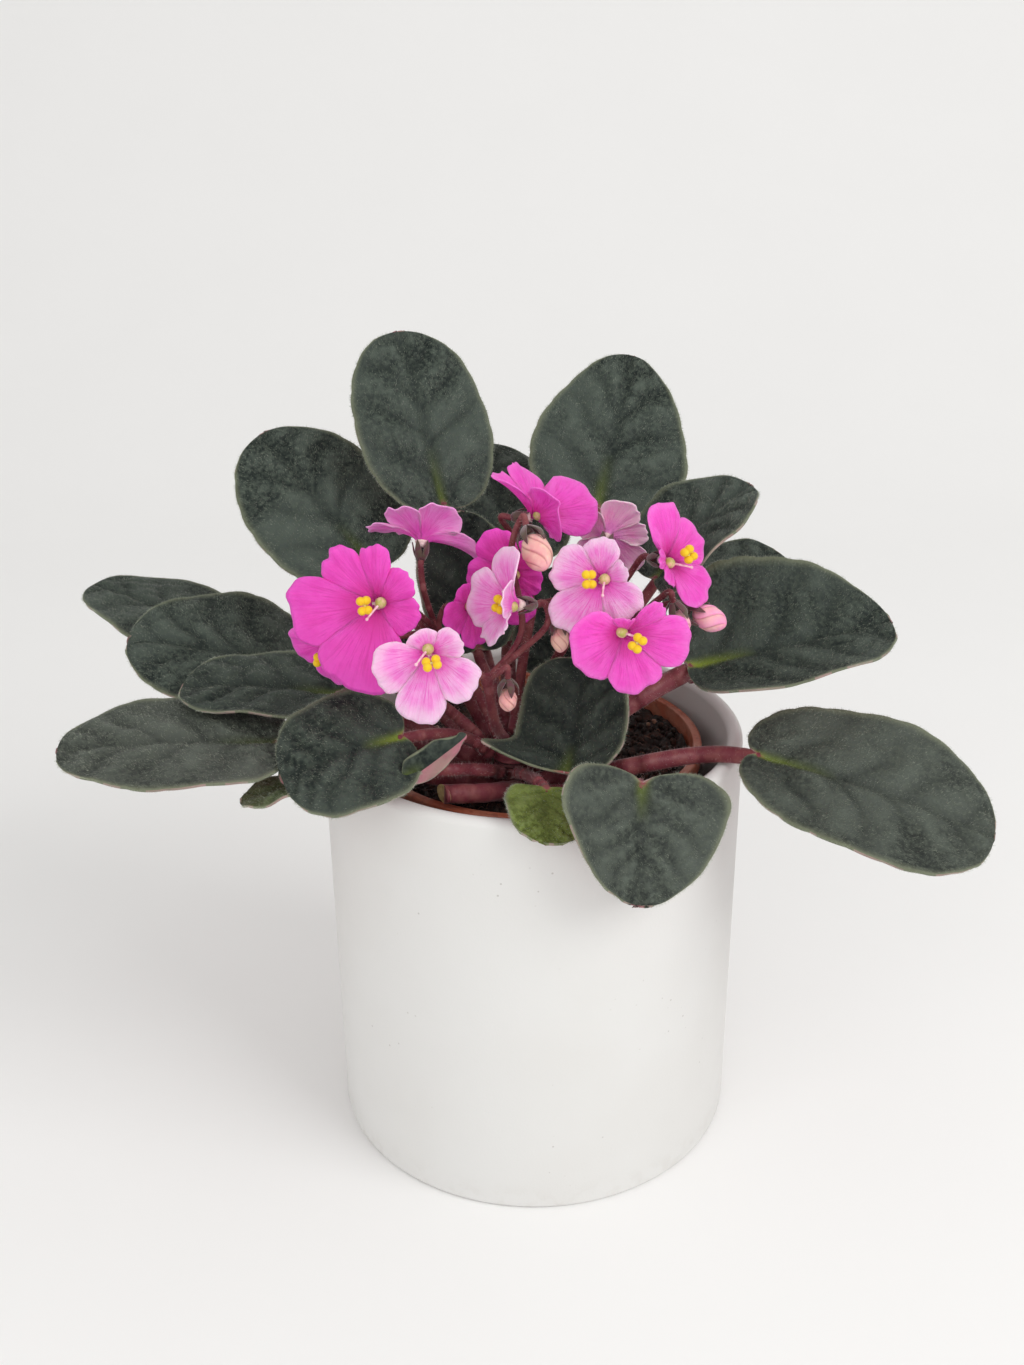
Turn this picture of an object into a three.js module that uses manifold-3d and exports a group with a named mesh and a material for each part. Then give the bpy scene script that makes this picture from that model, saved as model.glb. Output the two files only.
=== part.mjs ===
// A potted African violet: a white cachepot, the nursery pot and soil inside it, and the plant.
// Millimetres, +Z up. The origin is at the centre of the cachepot's flat base.
import * as THREE from "three";
import { mergeVertices } from "three/addons/utils/BufferGeometryUtils.js";
import Module from "manifold-3d";

const wasm = await Module();
wasm.setup();

// ---------- driving dimensions ----------
const GAP = 0.3; // clearance between pieces that touch

const CACHEPOT = { radius: 67.5, height: 140, wall: 5, floor: 6, rimRound: 2.5, footRound: 1.5 };
const NURSERY = { x: 0, y: 6, rimRadius: 54, footRadius: 46, wall: 1.4, rimZ: 132, lip: 1.5, lipDepth: 5 };
const DRAIN = { count: 5, radius: 4, ring: 28 };
const SOIL = { surfaceZ: 125, roughness: 1.6, crownMound: 3, bank: 4 };
const CROWN = { x: -6, y: -23, radius: 6.5, bottomZ: 117, topZ: 144 };
const CROWN_TIERS = [
  { z: 131.6, rise: 12 },
  { z: 137, rise: 32 },
  { z: 142, rise: 55 },
]; // where petioles leave the crown, and how steeply

const BLADE = { thickness: 0.8, midrib: 1.1, rows: 8, columns: 6 };
const PETAL = { thickness: 0.7, facetsEach: 5, rings: [0.4, 0.75, 1] };

// ---------- materials ----------
const finish = (color, roughness) => new THREE.MeshStandardMaterial({ color, roughness, metalness: 0 });
const MATERIAL = {
  ceramic: finish(0xece9e6, 0.5),
  terracottaPlastic: finish(0xa8513c, 0.6),
  peat: finish(0x241a18, 0.95),
  redStem: finish(0x6b2b38, 0.7),
  leaf: finish(0x39453b, 0.75),
  petal: finish(0xe86fc0, 0.6),
  anther: finish(0xf2cf12, 0.6),
  bud: finish(0xe3b3a4, 0.65),
};

// ---------- solids ----------
const radians = THREE.MathUtils.degToRad;
const at = (point) => new THREE.Vector3(...point);

function solidOf(geometry) {
  const bare = geometry.clone();
  bare.deleteAttribute("normal");
  bare.deleteAttribute("uv");
  const merged = mergeVertices(bare, 1e-4);
  return new wasm.Manifold(
    new wasm.Mesh({
      numProp: 3,
      vertProperties: new Float32Array(merged.attributes.position.array),
      triVerts: new Uint32Array(merged.index.array),
    }),
  );
}

function geometryOf(solid) {
  const mesh = solid.getMesh();
  const geometry = new THREE.BufferGeometry();
  geometry.setAttribute("position", new THREE.BufferAttribute(new Float32Array(mesh.vertProperties), 3));
  geometry.setIndex(new THREE.BufferAttribute(new Uint32Array(mesh.triVerts), 1));
  return geometry;
}

// Joins closed geometries and keeps the largest body, so that no loose scrap is left.
function join(geometries) {
  const whole = geometries.map(solidOf).reduce((sum, next) => sum.add(next));
  const bodies = whole.decompose().sort((a, b) => b.volume() - a.volume());
  return geometryOf(bodies[0]);
}

function direction(azimuth, elevation) {
  const a = radians(azimuth);
  const e = radians(elevation);
  return new THREE.Vector3(Math.cos(a) * Math.cos(e), Math.sin(a) * Math.cos(e), Math.sin(e));
}

// A closed tube of a few flat sides along a smooth curve through the points.
function tube(points, radius, sides, steps) {
  const section = new THREE.Shape();
  for (let i = 0; i < sides; i++) {
    const angle = (2 * Math.PI * i) / sides;
    const x = radius * Math.cos(angle);
    const y = radius * Math.sin(angle);
    if (i === 0) section.moveTo(x, y);
    else section.lineTo(x, y);
  }
  const path = Array.isArray(points) ? new THREE.CatmullRomCurve3(points) : points;
  return new THREE.ExtrudeGeometry(section, { steps, extrudePath: path });
}

// ---------- leaf blades and petals ----------
// A blade is a curved sheet. t runs 0..PI from its base to its tip, s runs -1..1 from edge to edge.
// x is across, y is along the midrib and z is the upper side.
function bladePoint(shape, t, s) {
  const { length, width, arch = 0, cup = 0, lobe = 0, taper = 0, blunt = 0.7 } = shape;
  const { wave = 0, waves = 3, phase = 0, beak } = shape;
  const beakShare = beak && s < 0 ? s * s * Math.exp(-(((t - beak.at) / beak.spread) ** 2)) : 0;
  let x = ((s * width) / 2) * Math.sin(t) ** blunt * (1 + taper * Math.cos(t));
  if (beak) x -= beak.reach * beakShare;
  const lobeShare = Math.sqrt(Math.sin(t)) * ((1 + Math.cos(t)) / 2) ** 1.5;
  const along = (length * (1 - Math.cos(t))) / 2 - lobe * lobeShare * s * s;
  const bend = radians(arch || 0.001) / length;
  const half = radians(arch) / 2;
  const alongY = Math.sin(bend * along) / bend;
  const dropZ = (Math.cos(bend * along) - 1) / bend;
  const y = alongY * Math.cos(half) - dropZ * Math.sin(half);
  const ripple = wave * s ** 4 * Math.sin(t) * Math.sin(2 * waves * t + phase + s);
  const arched = alongY * Math.sin(half) + dropZ * Math.cos(half);
  const beakLift = beak ? beak.lift * beakShare : 0;
  return new THREE.Vector3(x, y, arched + (cup * x * x) / (width / 2) + ripple + beakLift);
}

function bladeNormal(shape, t, s) {
  const step = 0.05;
  const safeT = THREE.MathUtils.clamp(t, 0.25, Math.PI - 0.25);
  const along = bladePoint(shape, safeT + step, s).sub(bladePoint(shape, safeT - step, s));
  const across = bladePoint(shape, safeT, s + step).sub(bladePoint(shape, safeT, s - step));
  return across.cross(along).normalize();
}

// The closed sheet: an upper and a lower face with the same diagonals, and a rim round both.
function sheet(shape, { rows, columns, thickness, midrib = 0 }) {
  const positions = [];
  const faces = [];
  const rowStart = (row) => (row === 0 ? 0 : 2 + (row - 1) * 2 * (columns + 1));
  const isPole = (row) => row === 0 || row === rows;
  const upper = (row, column) => rowStart(row) + (isPole(row) ? 0 : column);
  const lower = (row, column) => rowStart(row) + (isPole(row) ? 1 : columns + 1 + column);

  for (let row = 0; row <= rows; row++) {
    const t = THREE.MathUtils.clamp((Math.PI * row) / rows, 1e-6, Math.PI - 1e-6);
    const across = isPole(row) ? [0] : Array.from({ length: columns + 1 }, (_, i) => (2 * i) / columns - 1);
    for (const side of [1, -1]) {
      for (const s of across) {
        const rib = side < 0 && s === 0 ? midrib * (1 - row / rows) : 0;
        const offset = side * (thickness / 2 + rib);
        positions.push(...bladePoint(shape, t, s).addScaledVector(bladeNormal(shape, t, s), offset));
      }
    }
  }

  const addQuad = (a, b, c, d) => {
    if (a !== b) faces.push([a, b, c]);
    if (c !== d) faces.push([a, c, d]);
  };
  for (let row = 0; row < rows; row++) {
    for (let column = 0; column < columns; column++) {
      const next = column + 1;
      addQuad(upper(row, column), upper(row, next), upper(row + 1, next), upper(row + 1, column));
      const [a, b] = [lower(row, column), lower(row, next)];
      const [c, d] = [lower(row + 1, next), lower(row + 1, column)];
      if (a !== b) faces.push([b, a, c]);
      if (c !== d) faces.push([c, a, d]);
    }
    for (const [column, turned] of [
      [columns, false],
      [0, true],
    ]) {
      const [u0, l0] = [upper(row, column), lower(row, column)];
      const [u1, l1] = [upper(row + 1, column), lower(row + 1, column)];
      if (turned) faces.push([u0, l1, l0], [u0, u1, l1]);
      else faces.push([u0, l0, l1], [u0, l1, u1]);
    }
  }
  const geometry = new THREE.BufferGeometry();
  geometry.setAttribute("position", new THREE.Float32BufferAttribute(positions, 3));
  geometry.setIndex(faces.flat());
  return geometry;
}

// The frame of a blade: x across, y forward, z up out of its upper face.
function bladeFrame({ base, azimuth, rise, roll = 0 }) {
  const forward = direction(azimuth, rise);
  const right = direction(azimuth - 90, 0);
  right.applyAxisAngle(forward, -radians(roll));
  const normal = right.clone().cross(forward);
  return new THREE.Matrix4().makeBasis(right, forward, normal).setPosition(at(base));
}

// ---------- leaves ----------
// base: where the petiole meets the blade. azimuth, rise and roll: how the blade points, in degrees.
// root: the petiole's own azimuth and tier on the crown. stem: its radius. arrive: its rise where it meets
// the blade, if it isn't the blade's own. attach: how far along a cupped blade it meets it. flap: a lobe of
// the blade's base that curls up on its own. beak: a lobe of the base that is drawn out to a point.
const LEAVES = {
  leaf_left_back: {
    base: [-94, 45, 144], azimuth: 163, rise: 18, length: 71, width: 54, arch: 16, taper: 0.15, lobe: 7,
    blunt: 0.72, root: [146, 1], arrive: -8,
  },
  leaf_left_upper: {
    base: [-79, 18, 152], azimuth: 187, rise: 14, roll: 21, length: 55, width: 58, arch: 22, taper: 0.2,
    lobe: 7, blunt: 0.8, root: [162, 0],
  },
  leaf_left_middle: {
    base: [-59, -18, 159], azimuth: 178, rise: 2, roll: 10, length: 49, width: 35, arch: 18, cup: 0.03,
    lobe: 4, root: [188, 1], arrive: 4,
  },
  leaf_left_front: {
    base: [-74.5, -37, 152], azimuth: 190, rise: 2, roll: 6, length: 64, width: 52, arch: 11, taper: 0.1,
    lobe: 6, blunt: 0.85, root: [204, 0],
  },
  leaf_left_low: {
    base: [-60, -52, 148], azimuth: 186, rise: -16, length: 25, width: 18, arch: 10, lobe: 3,
    root: [244, 1], arrive: 0,
  },
  leaf_front_left: {
    base: [-37.5, -45, 157], azimuth: 200, rise: -12, roll: 26, length: 37, width: 43, arch: 27, lobe: 6,
    blunt: 0.75, root: [214, 2],
    flap: {
      base: [-36.5, -57, 149], azimuth: 20, rise: 30, roll: 100, length: 21, width: 9, taper: 0.4, blunt: 1,
    },
  },
  leaf_back_left: {
    base: [-50, 15, 188], azimuth: 140, rise: 35, roll: 23, length: 63, width: 51, arch: 3, cup: -0.05,
    lobe: 5, taper: 0.07, blunt: 0.95, root: [138, 2],
  },
  leaf_back_tall: {
    base: [-28, 24, 206], azimuth: 114, rise: 53, roll: 1, length: 62, width: 46, arch: 7, cup: -0.07,
    lobe: 5, blunt: 0.9, root: [102, 1],
  },
  leaf_back_middle: {
    base: [-8, 36, 187], azimuth: 101, rise: 31, roll: -12, length: 51, width: 50, arch: 15, taper: 0.13,
    lobe: 6, root: [96, 0],
  },
  leaf_back_right: {
    base: [22, 42, 200], azimuth: 73, rise: 42, roll: -19, length: 63, width: 50, arch: 12, cup: 0.07,
    lobe: 5, taper: 0.4, blunt: 0.8, root: [60, 1],
  },
  leaf_right_upper: {
    base: [38, 6, 187], azimuth: 15, rise: 42, roll: -1, length: 42, width: 54, arch: 29, cup: 0.16,
    lobe: 5, taper: 0.14, blunt: 0.78, root: [24, 2],
  },
  leaf_right_back: {
    base: [51, 27, 168], azimuth: 34, rise: 18, roll: -16, length: 43, width: 37, arch: 15, lobe: 6,
    root: [45, 0],
  },
  leaf_right: {
    base: [48, -12, 165], azimuth: 9, rise: 9.5, roll: -20, length: 65, width: 58, arch: 1, cup: 0.44,
    lobe: 4, taper: 0.17, blunt: 0.9, stem: 3.3, root: [6, 1], arrive: 25,
  },
  leaf_right_front: {
    base: [67, -33, 145], azimuth: -14, rise: -15, roll: -21, length: 73, width: 56, arch: 17, cup: 0.07,
    lobe: 10, taper: -0.1, blunt: 0.95, stem: 2.8, root: [-18, 0],
  },
  leaf_front_cup: {
    base: [9.5, -44, 144.5], azimuth: 80, rise: 42, length: 39.5, width: 33, arch: -75, cup: 0.25,
    blunt: 0.6, attach: 0.3, root: [-28, 2],
    beak: { at: 0.6, spread: 0.35, reach: 12, lift: 7 },
  },
  leaf_front_heart: {
    base: [31, -60, 149], azimuth: -93, rise: -54, roll: 30, length: 34, width: 50, arch: 0, cup: 0.12,
    lobe: 9, taper: 0.4, blunt: 0.8, root: [-52, 0], arrive: 20,
  },
  leaf_front_small: {
    base: [4, -55, 145], azimuth: -89, rise: -16, roll: 8, length: 22, width: 24, arch: 30, lobe: 3,
    taper: 0.15, root: [-80, 1], arrive: 6,
  },
  leaf_inner_back: {
    base: [-17, 0, 166], azimuth: 112, rise: 62, length: 44, width: 32, arch: -15, cup: 0.1, lobe: 4,
    root: [100, 2],
  },
  leaf_inner_left: {
    base: [-27, -22, 158], azimuth: 165, rise: 50, length: 30, width: 26, arch: -20, cup: 0.15, lobe: 3,
    root: [174, 2],
  },
  leaf_inner_right: {
    base: [7, -1, 158], azimuth: 72, rise: 60, length: 34, width: 32, arch: -15, cup: 0.12, lobe: 4,
    root: [62, 2],
  },
};

const PETIOLE_RADIUS = 2.5;
const SMALL_PETIOLE_RADIUS = 1.9;
const SMALL_LEAF = 48; // blades shorter than this have the thinner petiole

function leaf(shape) {
  const frame = bladeFrame(shape);
  const isSmall = shape.length < SMALL_LEAF;
  const facets = isSmall ? { ...BLADE, columns: 4 } : BLADE;
  const blade = sheet({ wave: 0.9, phase: shape.length, ...shape }, facets).applyMatrix4(frame);
  const radius = shape.stem ?? (isSmall ? SMALL_PETIOLE_RADIUS : PETIOLE_RADIUS);

  // the petiole leaves the crown outwards, meets the blade along its midrib and runs on a little under it
  const [rootAzimuth, tier] = shape.root;
  const { z: rootZ, rise: rootRise } = CROWN_TIERS[tier];
  const rootOut = direction(rootAzimuth, rootRise);
  const root = at([CROWN.x, CROWN.y, rootZ]);
  const offAxis = CROWN.radius + GAP + radius * Math.sin(radians(rootRise));
  root.addScaledVector(direction(rootAzimuth, 0), offAxis);
  const depth = shape.attach ? 0 : radius - 0.2;
  const under = (t) =>
    bladePoint(shape, t, 0).addScaledVector(bladeNormal(shape, t, 0), -depth).applyMatrix4(frame);
  const attach = (shape.attach ?? 0) * Math.PI + 0.05;
  const join0 = under(attach);
  const join1 = under(attach + 0.5);
  const reach = root.distanceTo(join0);
  const inward = join1.clone().sub(join0).normalize();
  if (shape.attach) inward.copy(bladeNormal(shape, attach, 0)).transformDirection(frame);
  if ("arrive" in shape) inward.z = Math.sin(radians(shape.arrive));
  const path = new THREE.CurvePath();
  path.add(
    new THREE.CubicBezierCurve3(
      root,
      root.clone().addScaledVector(rootOut, reach * 0.4),
      join0.clone().addScaledVector(inward, -reach * 0.3),
      join0,
    ),
  );
  if (!shape.attach) path.add(new THREE.LineCurve3(join0, join1));
  const pieces = [blade, tube(path, radius, 5, 6)];
  if (shape.flap) {
    const flap = sheet(shape.flap, { ...BLADE, rows: 6, columns: 4 });
    pieces.push(flap.applyMatrix4(bladeFrame(shape.flap)));
  }
  return join(pieces);
}

// ---------- blooms ----------
// centre: the throat. azimuth and elevation: where the bloom faces. size: length of the lowest petal.
// petals: [angle from the top, clockwise as the face is seen; length; width; opening above the face plane]
// antherAngle, antherOut, antherLift: where the anthers stand round, off and along the axis. styleAngle: the
// style's tip.
const PLAIN_PETALS = [
  [-36, 0.7, 0.85, 32],
  [36, 0.7, 0.85, 32],
  [105, 0.95, 1, 18],
  [180, 1, 1.05, 14],
  [-105, 0.95, 1, 18],
];
const BLOOMS = {
  left_large: {
    centre: [-43, -42, 196.5], azimuth: -95, elevation: 16, size: 26, antherAngle: -100, styleAngle: 205,
    petals: [
      [-42, 0.8, 0.9, 20],
      [-3, 0.7, 0.8, 26],
      [48, 0.57, 0.85, 32],
      [108, 0.5, 0.8, 15],
      [200, 1.03, 0.95, 8],
      [-95, 1.04, 0.95, 8],
    ],
  },
  left_hidden: {
    centre: [-58, -33, 182], azimuth: -115, elevation: -12, size: 16, antherAngle: 180, styleAngle: 140,
    antherLift: 1.6,
    petals: PLAIN_PETALS,
  },
  left_front: {
    centre: [-28, -56, 187], azimuth: -88, elevation: 22, size: 19, antherAngle: 165, styleAngle: 228,
    petals: [
      [-25, 0.5, 1, 45],
      [70, 0.62, 0.9, 35],
      [133, 0.9, 1, 15],
      [192, 1.05, 1, 8],
      [-115, 0.9, 1, 15],
    ],
  },
  centre: {
    centre: [-4.5, -40, 195], azimuth: -148, elevation: 10, size: 18, antherAngle: -80, styleAngle: 20,
    antherOut: 0.4,
    petals: [
      [-6, 1, 1.1, 22],
      [66, 0.95, 1.1, 57],
      [130, 0.8, 0.8, 50],
      [180, 0.9, 0.9, 45],
      [-97, 1.05, 1.1, 36],
    ],
  },
  centre_back: {
    centre: [-6, -14, 196], azimuth: -92, elevation: 5, size: 17, antherAngle: -64, styleAngle: 240,
    petals: [
      [-22, 0.95, 1, 25],
      [30, 0.85, 0.85, 40],
      [112, 0.7, 0.9, 35],
      [172, 1, 1, 14],
      [-105, 0.85, 1, 18],
    ],
  },
  centre_left: {
    centre: [-18.5, -24, 189], azimuth: -45, elevation: 15, size: 13, antherAngle: 90, styleAngle: 240,
    petals: PLAIN_PETALS,
  },
  back_left: {
    centre: [-33, -10, 205], azimuth: 90, elevation: 55, size: 17, antherAngle: 0, styleAngle: 180,
    antherOut: 1,
    petals: [
      [-40, 1, 1, 40],
      [38, 0.95, 1, 40],
      [88, 1.05, 0.6, 24],
      [180, 0.9, 1, 45],
      [-98, 1.05, 0.6, -3],
    ],
  },
  top: {
    centre: [0.5, -8, 211.5], azimuth: -10, elevation: 8, size: 17, antherAngle: 105, styleAngle: 70,
    antherOut: 0.2,
    petals: [
      [-14, 0.95, 0.9, -22],
      [30, 1, 0.7, -4],
      [102, 1.6, 1.1, 60],
      [180, 0.6, 0.6, 45],
      [-68, 1.1, 1.4, 52],
    ],
  },
  back_right: {
    centre: [23, 3, 201.5], azimuth: 82, elevation: 15, size: 15, antherAngle: 20, styleAngle: 100,
    petals: [
      [70, 0.7, 0.9, 30],
      [150, 0.9, 1, 20],
      [-40, 0.95, 0.8, 18],
      [-86, 0.9, 0.8, 18],
      [-138, 1.1, 0.9, 18],
    ],
  },
  right_front: {
    centre: [19.5, -39, 202], azimuth: -100, elevation: 20, size: 18, antherAngle: -95, styleAngle: 165,
    petals: [
      [5, 0.75, 0.9, 30],
      [66, 0.6, 0.8, 42],
      [128, 0.85, 1, 24],
      [215, 1.05, 1.1, 12],
      [282, 0.85, 1, 15],
    ],
  },
  right_low: {
    centre: [25.5, -47, 189], azimuth: -84, elevation: 12, size: 20, antherAngle: 125, styleAngle: 100,
    antherLift: 2.4,
    petals: [
      [5, 0.5, 0.6, 62],
      [48, 0.8, 0.5, 36],
      [104, 1, 0.95, 18],
      [162, 0.9, 1, 18],
      [-118, 0.85, 1, 18],
    ],
  },
  right: {
    centre: [38.5, -28, 204], azimuth: -47, elevation: 10, size: 18, antherAngle: 60, styleAngle: 125,
    antherLift: 1.2,
    petals: [
      [-8, 1, 0.8, 16],
      [74, 0.85, 1.1, 20],
      [148, 1.05, 1.15, 34],
      [-140, 0.6, 0.8, 45],
      [-75, 0.5, 0.7, 40],
    ],
  },
};

function bloomFrame({ centre, azimuth, elevation, spin = 0 }) {
  const facing = direction(azimuth, elevation);
  const up = direction(azimuth, elevation + 90).applyAxisAngle(facing, -radians(spin));
  const right = up.clone().cross(facing);
  return new THREE.Matrix4().makeBasis(right, up, facing).setPosition(at(centre));
}

const PETAL_CURL = 0.22; // how far a lobe's tip curls back, as a share of its length
const NOTCH = 0.78; // how far out two lobes part, as a share of the shorter one
const THROAT_DEPTH = 2.6;

// In a bloom's own frame +Z is where it faces and +Y is its top.
const inPlane = (angle, radius, z) =>
  new THREE.Vector3(radius * Math.sin(radians(angle)), radius * Math.cos(radians(angle)), z);

// The corolla is one sheet of lobes that are joined at the throat, so it is a closed fan of rings.
function lobeSheet(bloom) {
  const lobes = [...bloom.petals].sort((a, b) => a[0] - b[0]);
  const spokes = [];
  lobes.forEach(([angle, length, width, opening], i) => {
    const next = lobes[(i + 1) % lobes.length];
    const last = lobes[(i + lobes.length - 1) % lobes.length];
    const spanAfter = (((next[0] - angle + 360) % 360) * width) / (width + next[2]);
    const spanBefore = (((angle - last[0] + 360) % 360) * width) / (width + last[2]);
    for (let facet = 0; facet < PETAL.facetsEach; facet++) {
      const u = (2 * facet) / PETAL.facetsEach - 1;
      const span = u < 0 ? spanBefore : spanAfter;
      const neighbour = u < 0 ? last : next;
      const notch = NOTCH * Math.min(length, neighbour[1]);
      const reach = notch + (length - notch) * Math.sqrt(1 - Math.abs(u) ** 3);
      const share = u * u * 0.5;
      spokes.push({
        angle: angle + u * span,
        reach: reach * bloom.size,
        opening: opening * (1 - share) + neighbour[3] * share,
      });
    }
  });

  const point = ({ angle, reach, opening }, share) => {
    const along = reach * share;
    const rise = Math.sin(radians(opening)) * along - PETAL_CURL * reach * share ** 3;
    return inPlane(angle, Math.cos(radians(opening)) * along, rise);
  };
  const count = spokes.length;
  const rings = PETAL.rings;
  const spokeAt = (i) => spokes[(i + count) % count];
  const normalAt = (i, share) => {
    const outward = point(spokeAt(i), share).sub(point(spokeAt(i), share - 0.2));
    const round = point(spokeAt(i + 1), share).sub(point(spokeAt(i - 1), share));
    return outward.cross(round).normalize().negate();
  };
  const positions = [0, 0, 0.5, 0, 0, -THROAT_DEPTH];
  rings.forEach((share) => {
    for (let i = 0; i < count; i++) {
      for (const side of [1, -1]) {
        const offset = (side * PETAL.thickness) / 2;
        positions.push(...point(spokeAt(i), share).addScaledVector(normalAt(i, share), offset));
      }
    }
  });
  const upper = (ring, i) => 2 + 2 * (ring * count + ((i + count) % count));
  const faces = [];
  for (let i = 0; i < count; i++) {
    faces.push([0, upper(0, i + 1), upper(0, i)], [1, upper(0, i) + 1, upper(0, i + 1) + 1]);
    for (let ring = 0; ring + 1 < rings.length; ring++) {
      const [a, b, c, d] = [upper(ring, i), upper(ring, i + 1), upper(ring + 1, i + 1), upper(ring + 1, i)];
      faces.push([a, b, c], [a, c, d], [b + 1, a + 1, c + 1], [c + 1, a + 1, d + 1]);
    }
    const [e, f] = [upper(rings.length - 1, i), upper(rings.length - 1, i + 1)];
    faces.push([e, f, f + 1], [e, f + 1, e + 1]);
  }
  const geometry = new THREE.BufferGeometry();
  geometry.setAttribute("position", new THREE.Float32BufferAttribute(positions, 3));
  geometry.setIndex(faces.flat());
  return geometry;
}

function corolla(bloom) {
  const ovaryCentre = inPlane(bloom.antherAngle + 180, 1.1, 1.9);
  const ovary = new THREE.SphereGeometry(1.8, 6, 4).translate(...ovaryCentre);
  const styleTip = inPlane(bloom.styleAngle, 4.6, 6);
  const style = tube([ovaryCentre, styleTip], 0.45, 3, 1);
  return join([lobeSheet(bloom), ovary, style]).applyMatrix4(bloomFrame(bloom));
}

function anthers(bloom) {
  const { antherAngle, antherOut = 2.9, antherLift = 0 } = bloom;
  const middle = inPlane(antherAngle, antherOut, 5.3 + antherLift);
  const aside = inPlane(antherAngle + 90, 1.4, 0);
  const lobes = [1, -1].map((side) => {
    const centre = middle.clone().addScaledVector(aside, side);
    return new THREE.SphereGeometry(1.6, 5, 3).scale(1, 1, 1.2).translate(...centre);
  });
  const foot = inPlane(antherAngle, antherOut, 3.4 + antherLift);
  return join([...lobes, tube([foot, middle], 0.5, 3, 1)]).applyMatrix4(bloomFrame(bloom));
}

// ---------- buds ----------
const BUDS = {
  top: { centre: [1.5, -33, 208], azimuth: -60, elevation: -45, radius: 4.4, length: 11.5 },
  low: { centre: [-7, -45, 168], azimuth: -90, elevation: -85, radius: 2.7, length: 7 },
  middle: { centre: [8, -34, 182], azimuth: -80, elevation: -75, radius: 2.7, length: 7.5 },
  right: { centre: [42.5, -34, 187], azimuth: 10, elevation: -70, radius: 3, length: 8.5 },
  right_outer: { centre: [51.5, -29, 186.5], azimuth: -15, elevation: -20, radius: 3.9, length: 10.5 },
};

// An egg-shaped bud whose point faces away from its stalk, with the furled petals as shallow flutes.
function bud({ centre, azimuth, elevation, radius, length }) {
  const egg = new THREE.SphereGeometry(1, 10, 6);
  const position = egg.attributes.position;
  for (let i = 0; i < position.count; i++) {
    const point = new THREE.Vector3().fromBufferAttribute(position, i);
    const flute = 1 + 0.06 * Math.cos(5 * Math.atan2(point.z, point.x));
    position.setXYZ(i, point.x * radius * flute, (point.y * length) / 2, point.z * radius * flute);
  }
  egg.rotateX(Math.PI / 2);
  return join([egg]).applyMatrix4(bloomFrame({ centre, azimuth, elevation }));
}

// ---------- flower stalks ----------
// A bloom or bud sits on its calyx: five sepals fused into a small ragged cup behind it.
function calyx(place, back, radius) {
  const cup = [
    [0, -4.2],
    [1.1, -4.2],
    [radius, 0],
    [0, -0.6],
  ].map(([x, y]) => new THREE.Vector2(x, y));
  return new THREE.LatheGeometry(cup, 5)
    .rotateX(Math.PI / 2)
    .translate(0, 0, -back)
    .applyMatrix4(bloomFrame(place));
}

const THROAT_BACK = THROAT_DEPTH + GAP;
const behind = (place, distance) => new THREE.Vector3(0, 0, -distance).applyMatrix4(bloomFrame(place));

// stem: from the crown to the fork. branches: side stalks from the fork, each with its own points.
const STALKS = {
  stalk_front: {
    stem: [[-7, -28, 145.2], [-11, -35, 156], [-13, -38, 171]],
    branches: [
      { to: BLOOMS.left_front, through: [[-19, -41, 178], [-26, -46, 184]] },
      { to: BLOOMS.centre, through: [[-6, -36, 177], [4, -34, 186]] },
      { to: BUDS.low, through: [[-9, -43, 176]] },
      { to: BUDS.top, through: [[-3, -32, 184], [-6, -26, 205]] },
    ],
  },
  stalk_left: {
    stem: [[-10.5, -22, 145.2], [-19, -18, 163], [-29, -15, 178]],
    branches: [
      { to: BLOOMS.left_large, through: [[-37, -25, 190]] },
      { to: BLOOMS.left_hidden, through: [[-42, -28, 181]] },
      { to: BLOOMS.back_left, through: [[-32, -17, 190]] },
      { to: BLOOMS.centre_left, through: [[-27, -15, 184]] },
    ],
  },
  stalk_back: {
    stem: [[-6, -18.5, 145.2], [-3, -10, 165], [0, -6, 182]],
    branches: [
      { to: BLOOMS.centre_back, through: [[-6, 1, 190]] },
      { to: BLOOMS.top, through: [[-2, -3, 198]] },
      { to: BLOOMS.back_right, through: [[14, -8, 188]] },
    ],
  },
  stalk_right: {
    stem: [[-1.5, -22, 145.2], [5, -10, 161], [14, -10, 178]],
    branches: [
      { to: BLOOMS.right_front, through: [[18, -20, 191]] },
      { to: BLOOMS.right_low, through: [[21, -33, 181]] },
      { to: BLOOMS.right, through: [[26, -15, 191]] },
      { to: BUDS.middle, through: [[10, -26, 187]] },
      { to: BUDS.right, through: [[29, -20, 183], [36, -29, 192]] },
      { to: BUDS.right_outer, through: [[30, -18, 184]] },
    ],
  },
};
const STALK = { stemRadius: 1.6, branchRadius: 1 };

function stalk({ stem, branches }) {
  const fork = at(stem.at(-1));
  const pieces = [tube(stem.map(at), STALK.stemRadius, 5, 6)];
  for (const { to, through } of branches) {
    const isBud = "length" in to;
    const back = isBud ? to.length / 2 + GAP - 1.2 : THROAT_BACK;
    const cupRadius = isBud ? to.radius * 0.55 : 2.4;
    pieces.push(calyx(to, back + (isBud ? 1.2 : 0), cupRadius));
    const end = behind(to, back + 3.4);
    const before = behind(to, back + 7);
    pieces.push(tube([fork, ...through.map(at), before, end], STALK.branchRadius, 4, 6));
  }
  return join(pieces);
}

// ---------- pots, soil and crown ----------
const profile = (points) => points.map(([radius, z]) => new THREE.Vector2(radius, z));
const lathe = (points, segments) => new THREE.LatheGeometry(profile(points), segments).rotateX(Math.PI / 2);

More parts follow.
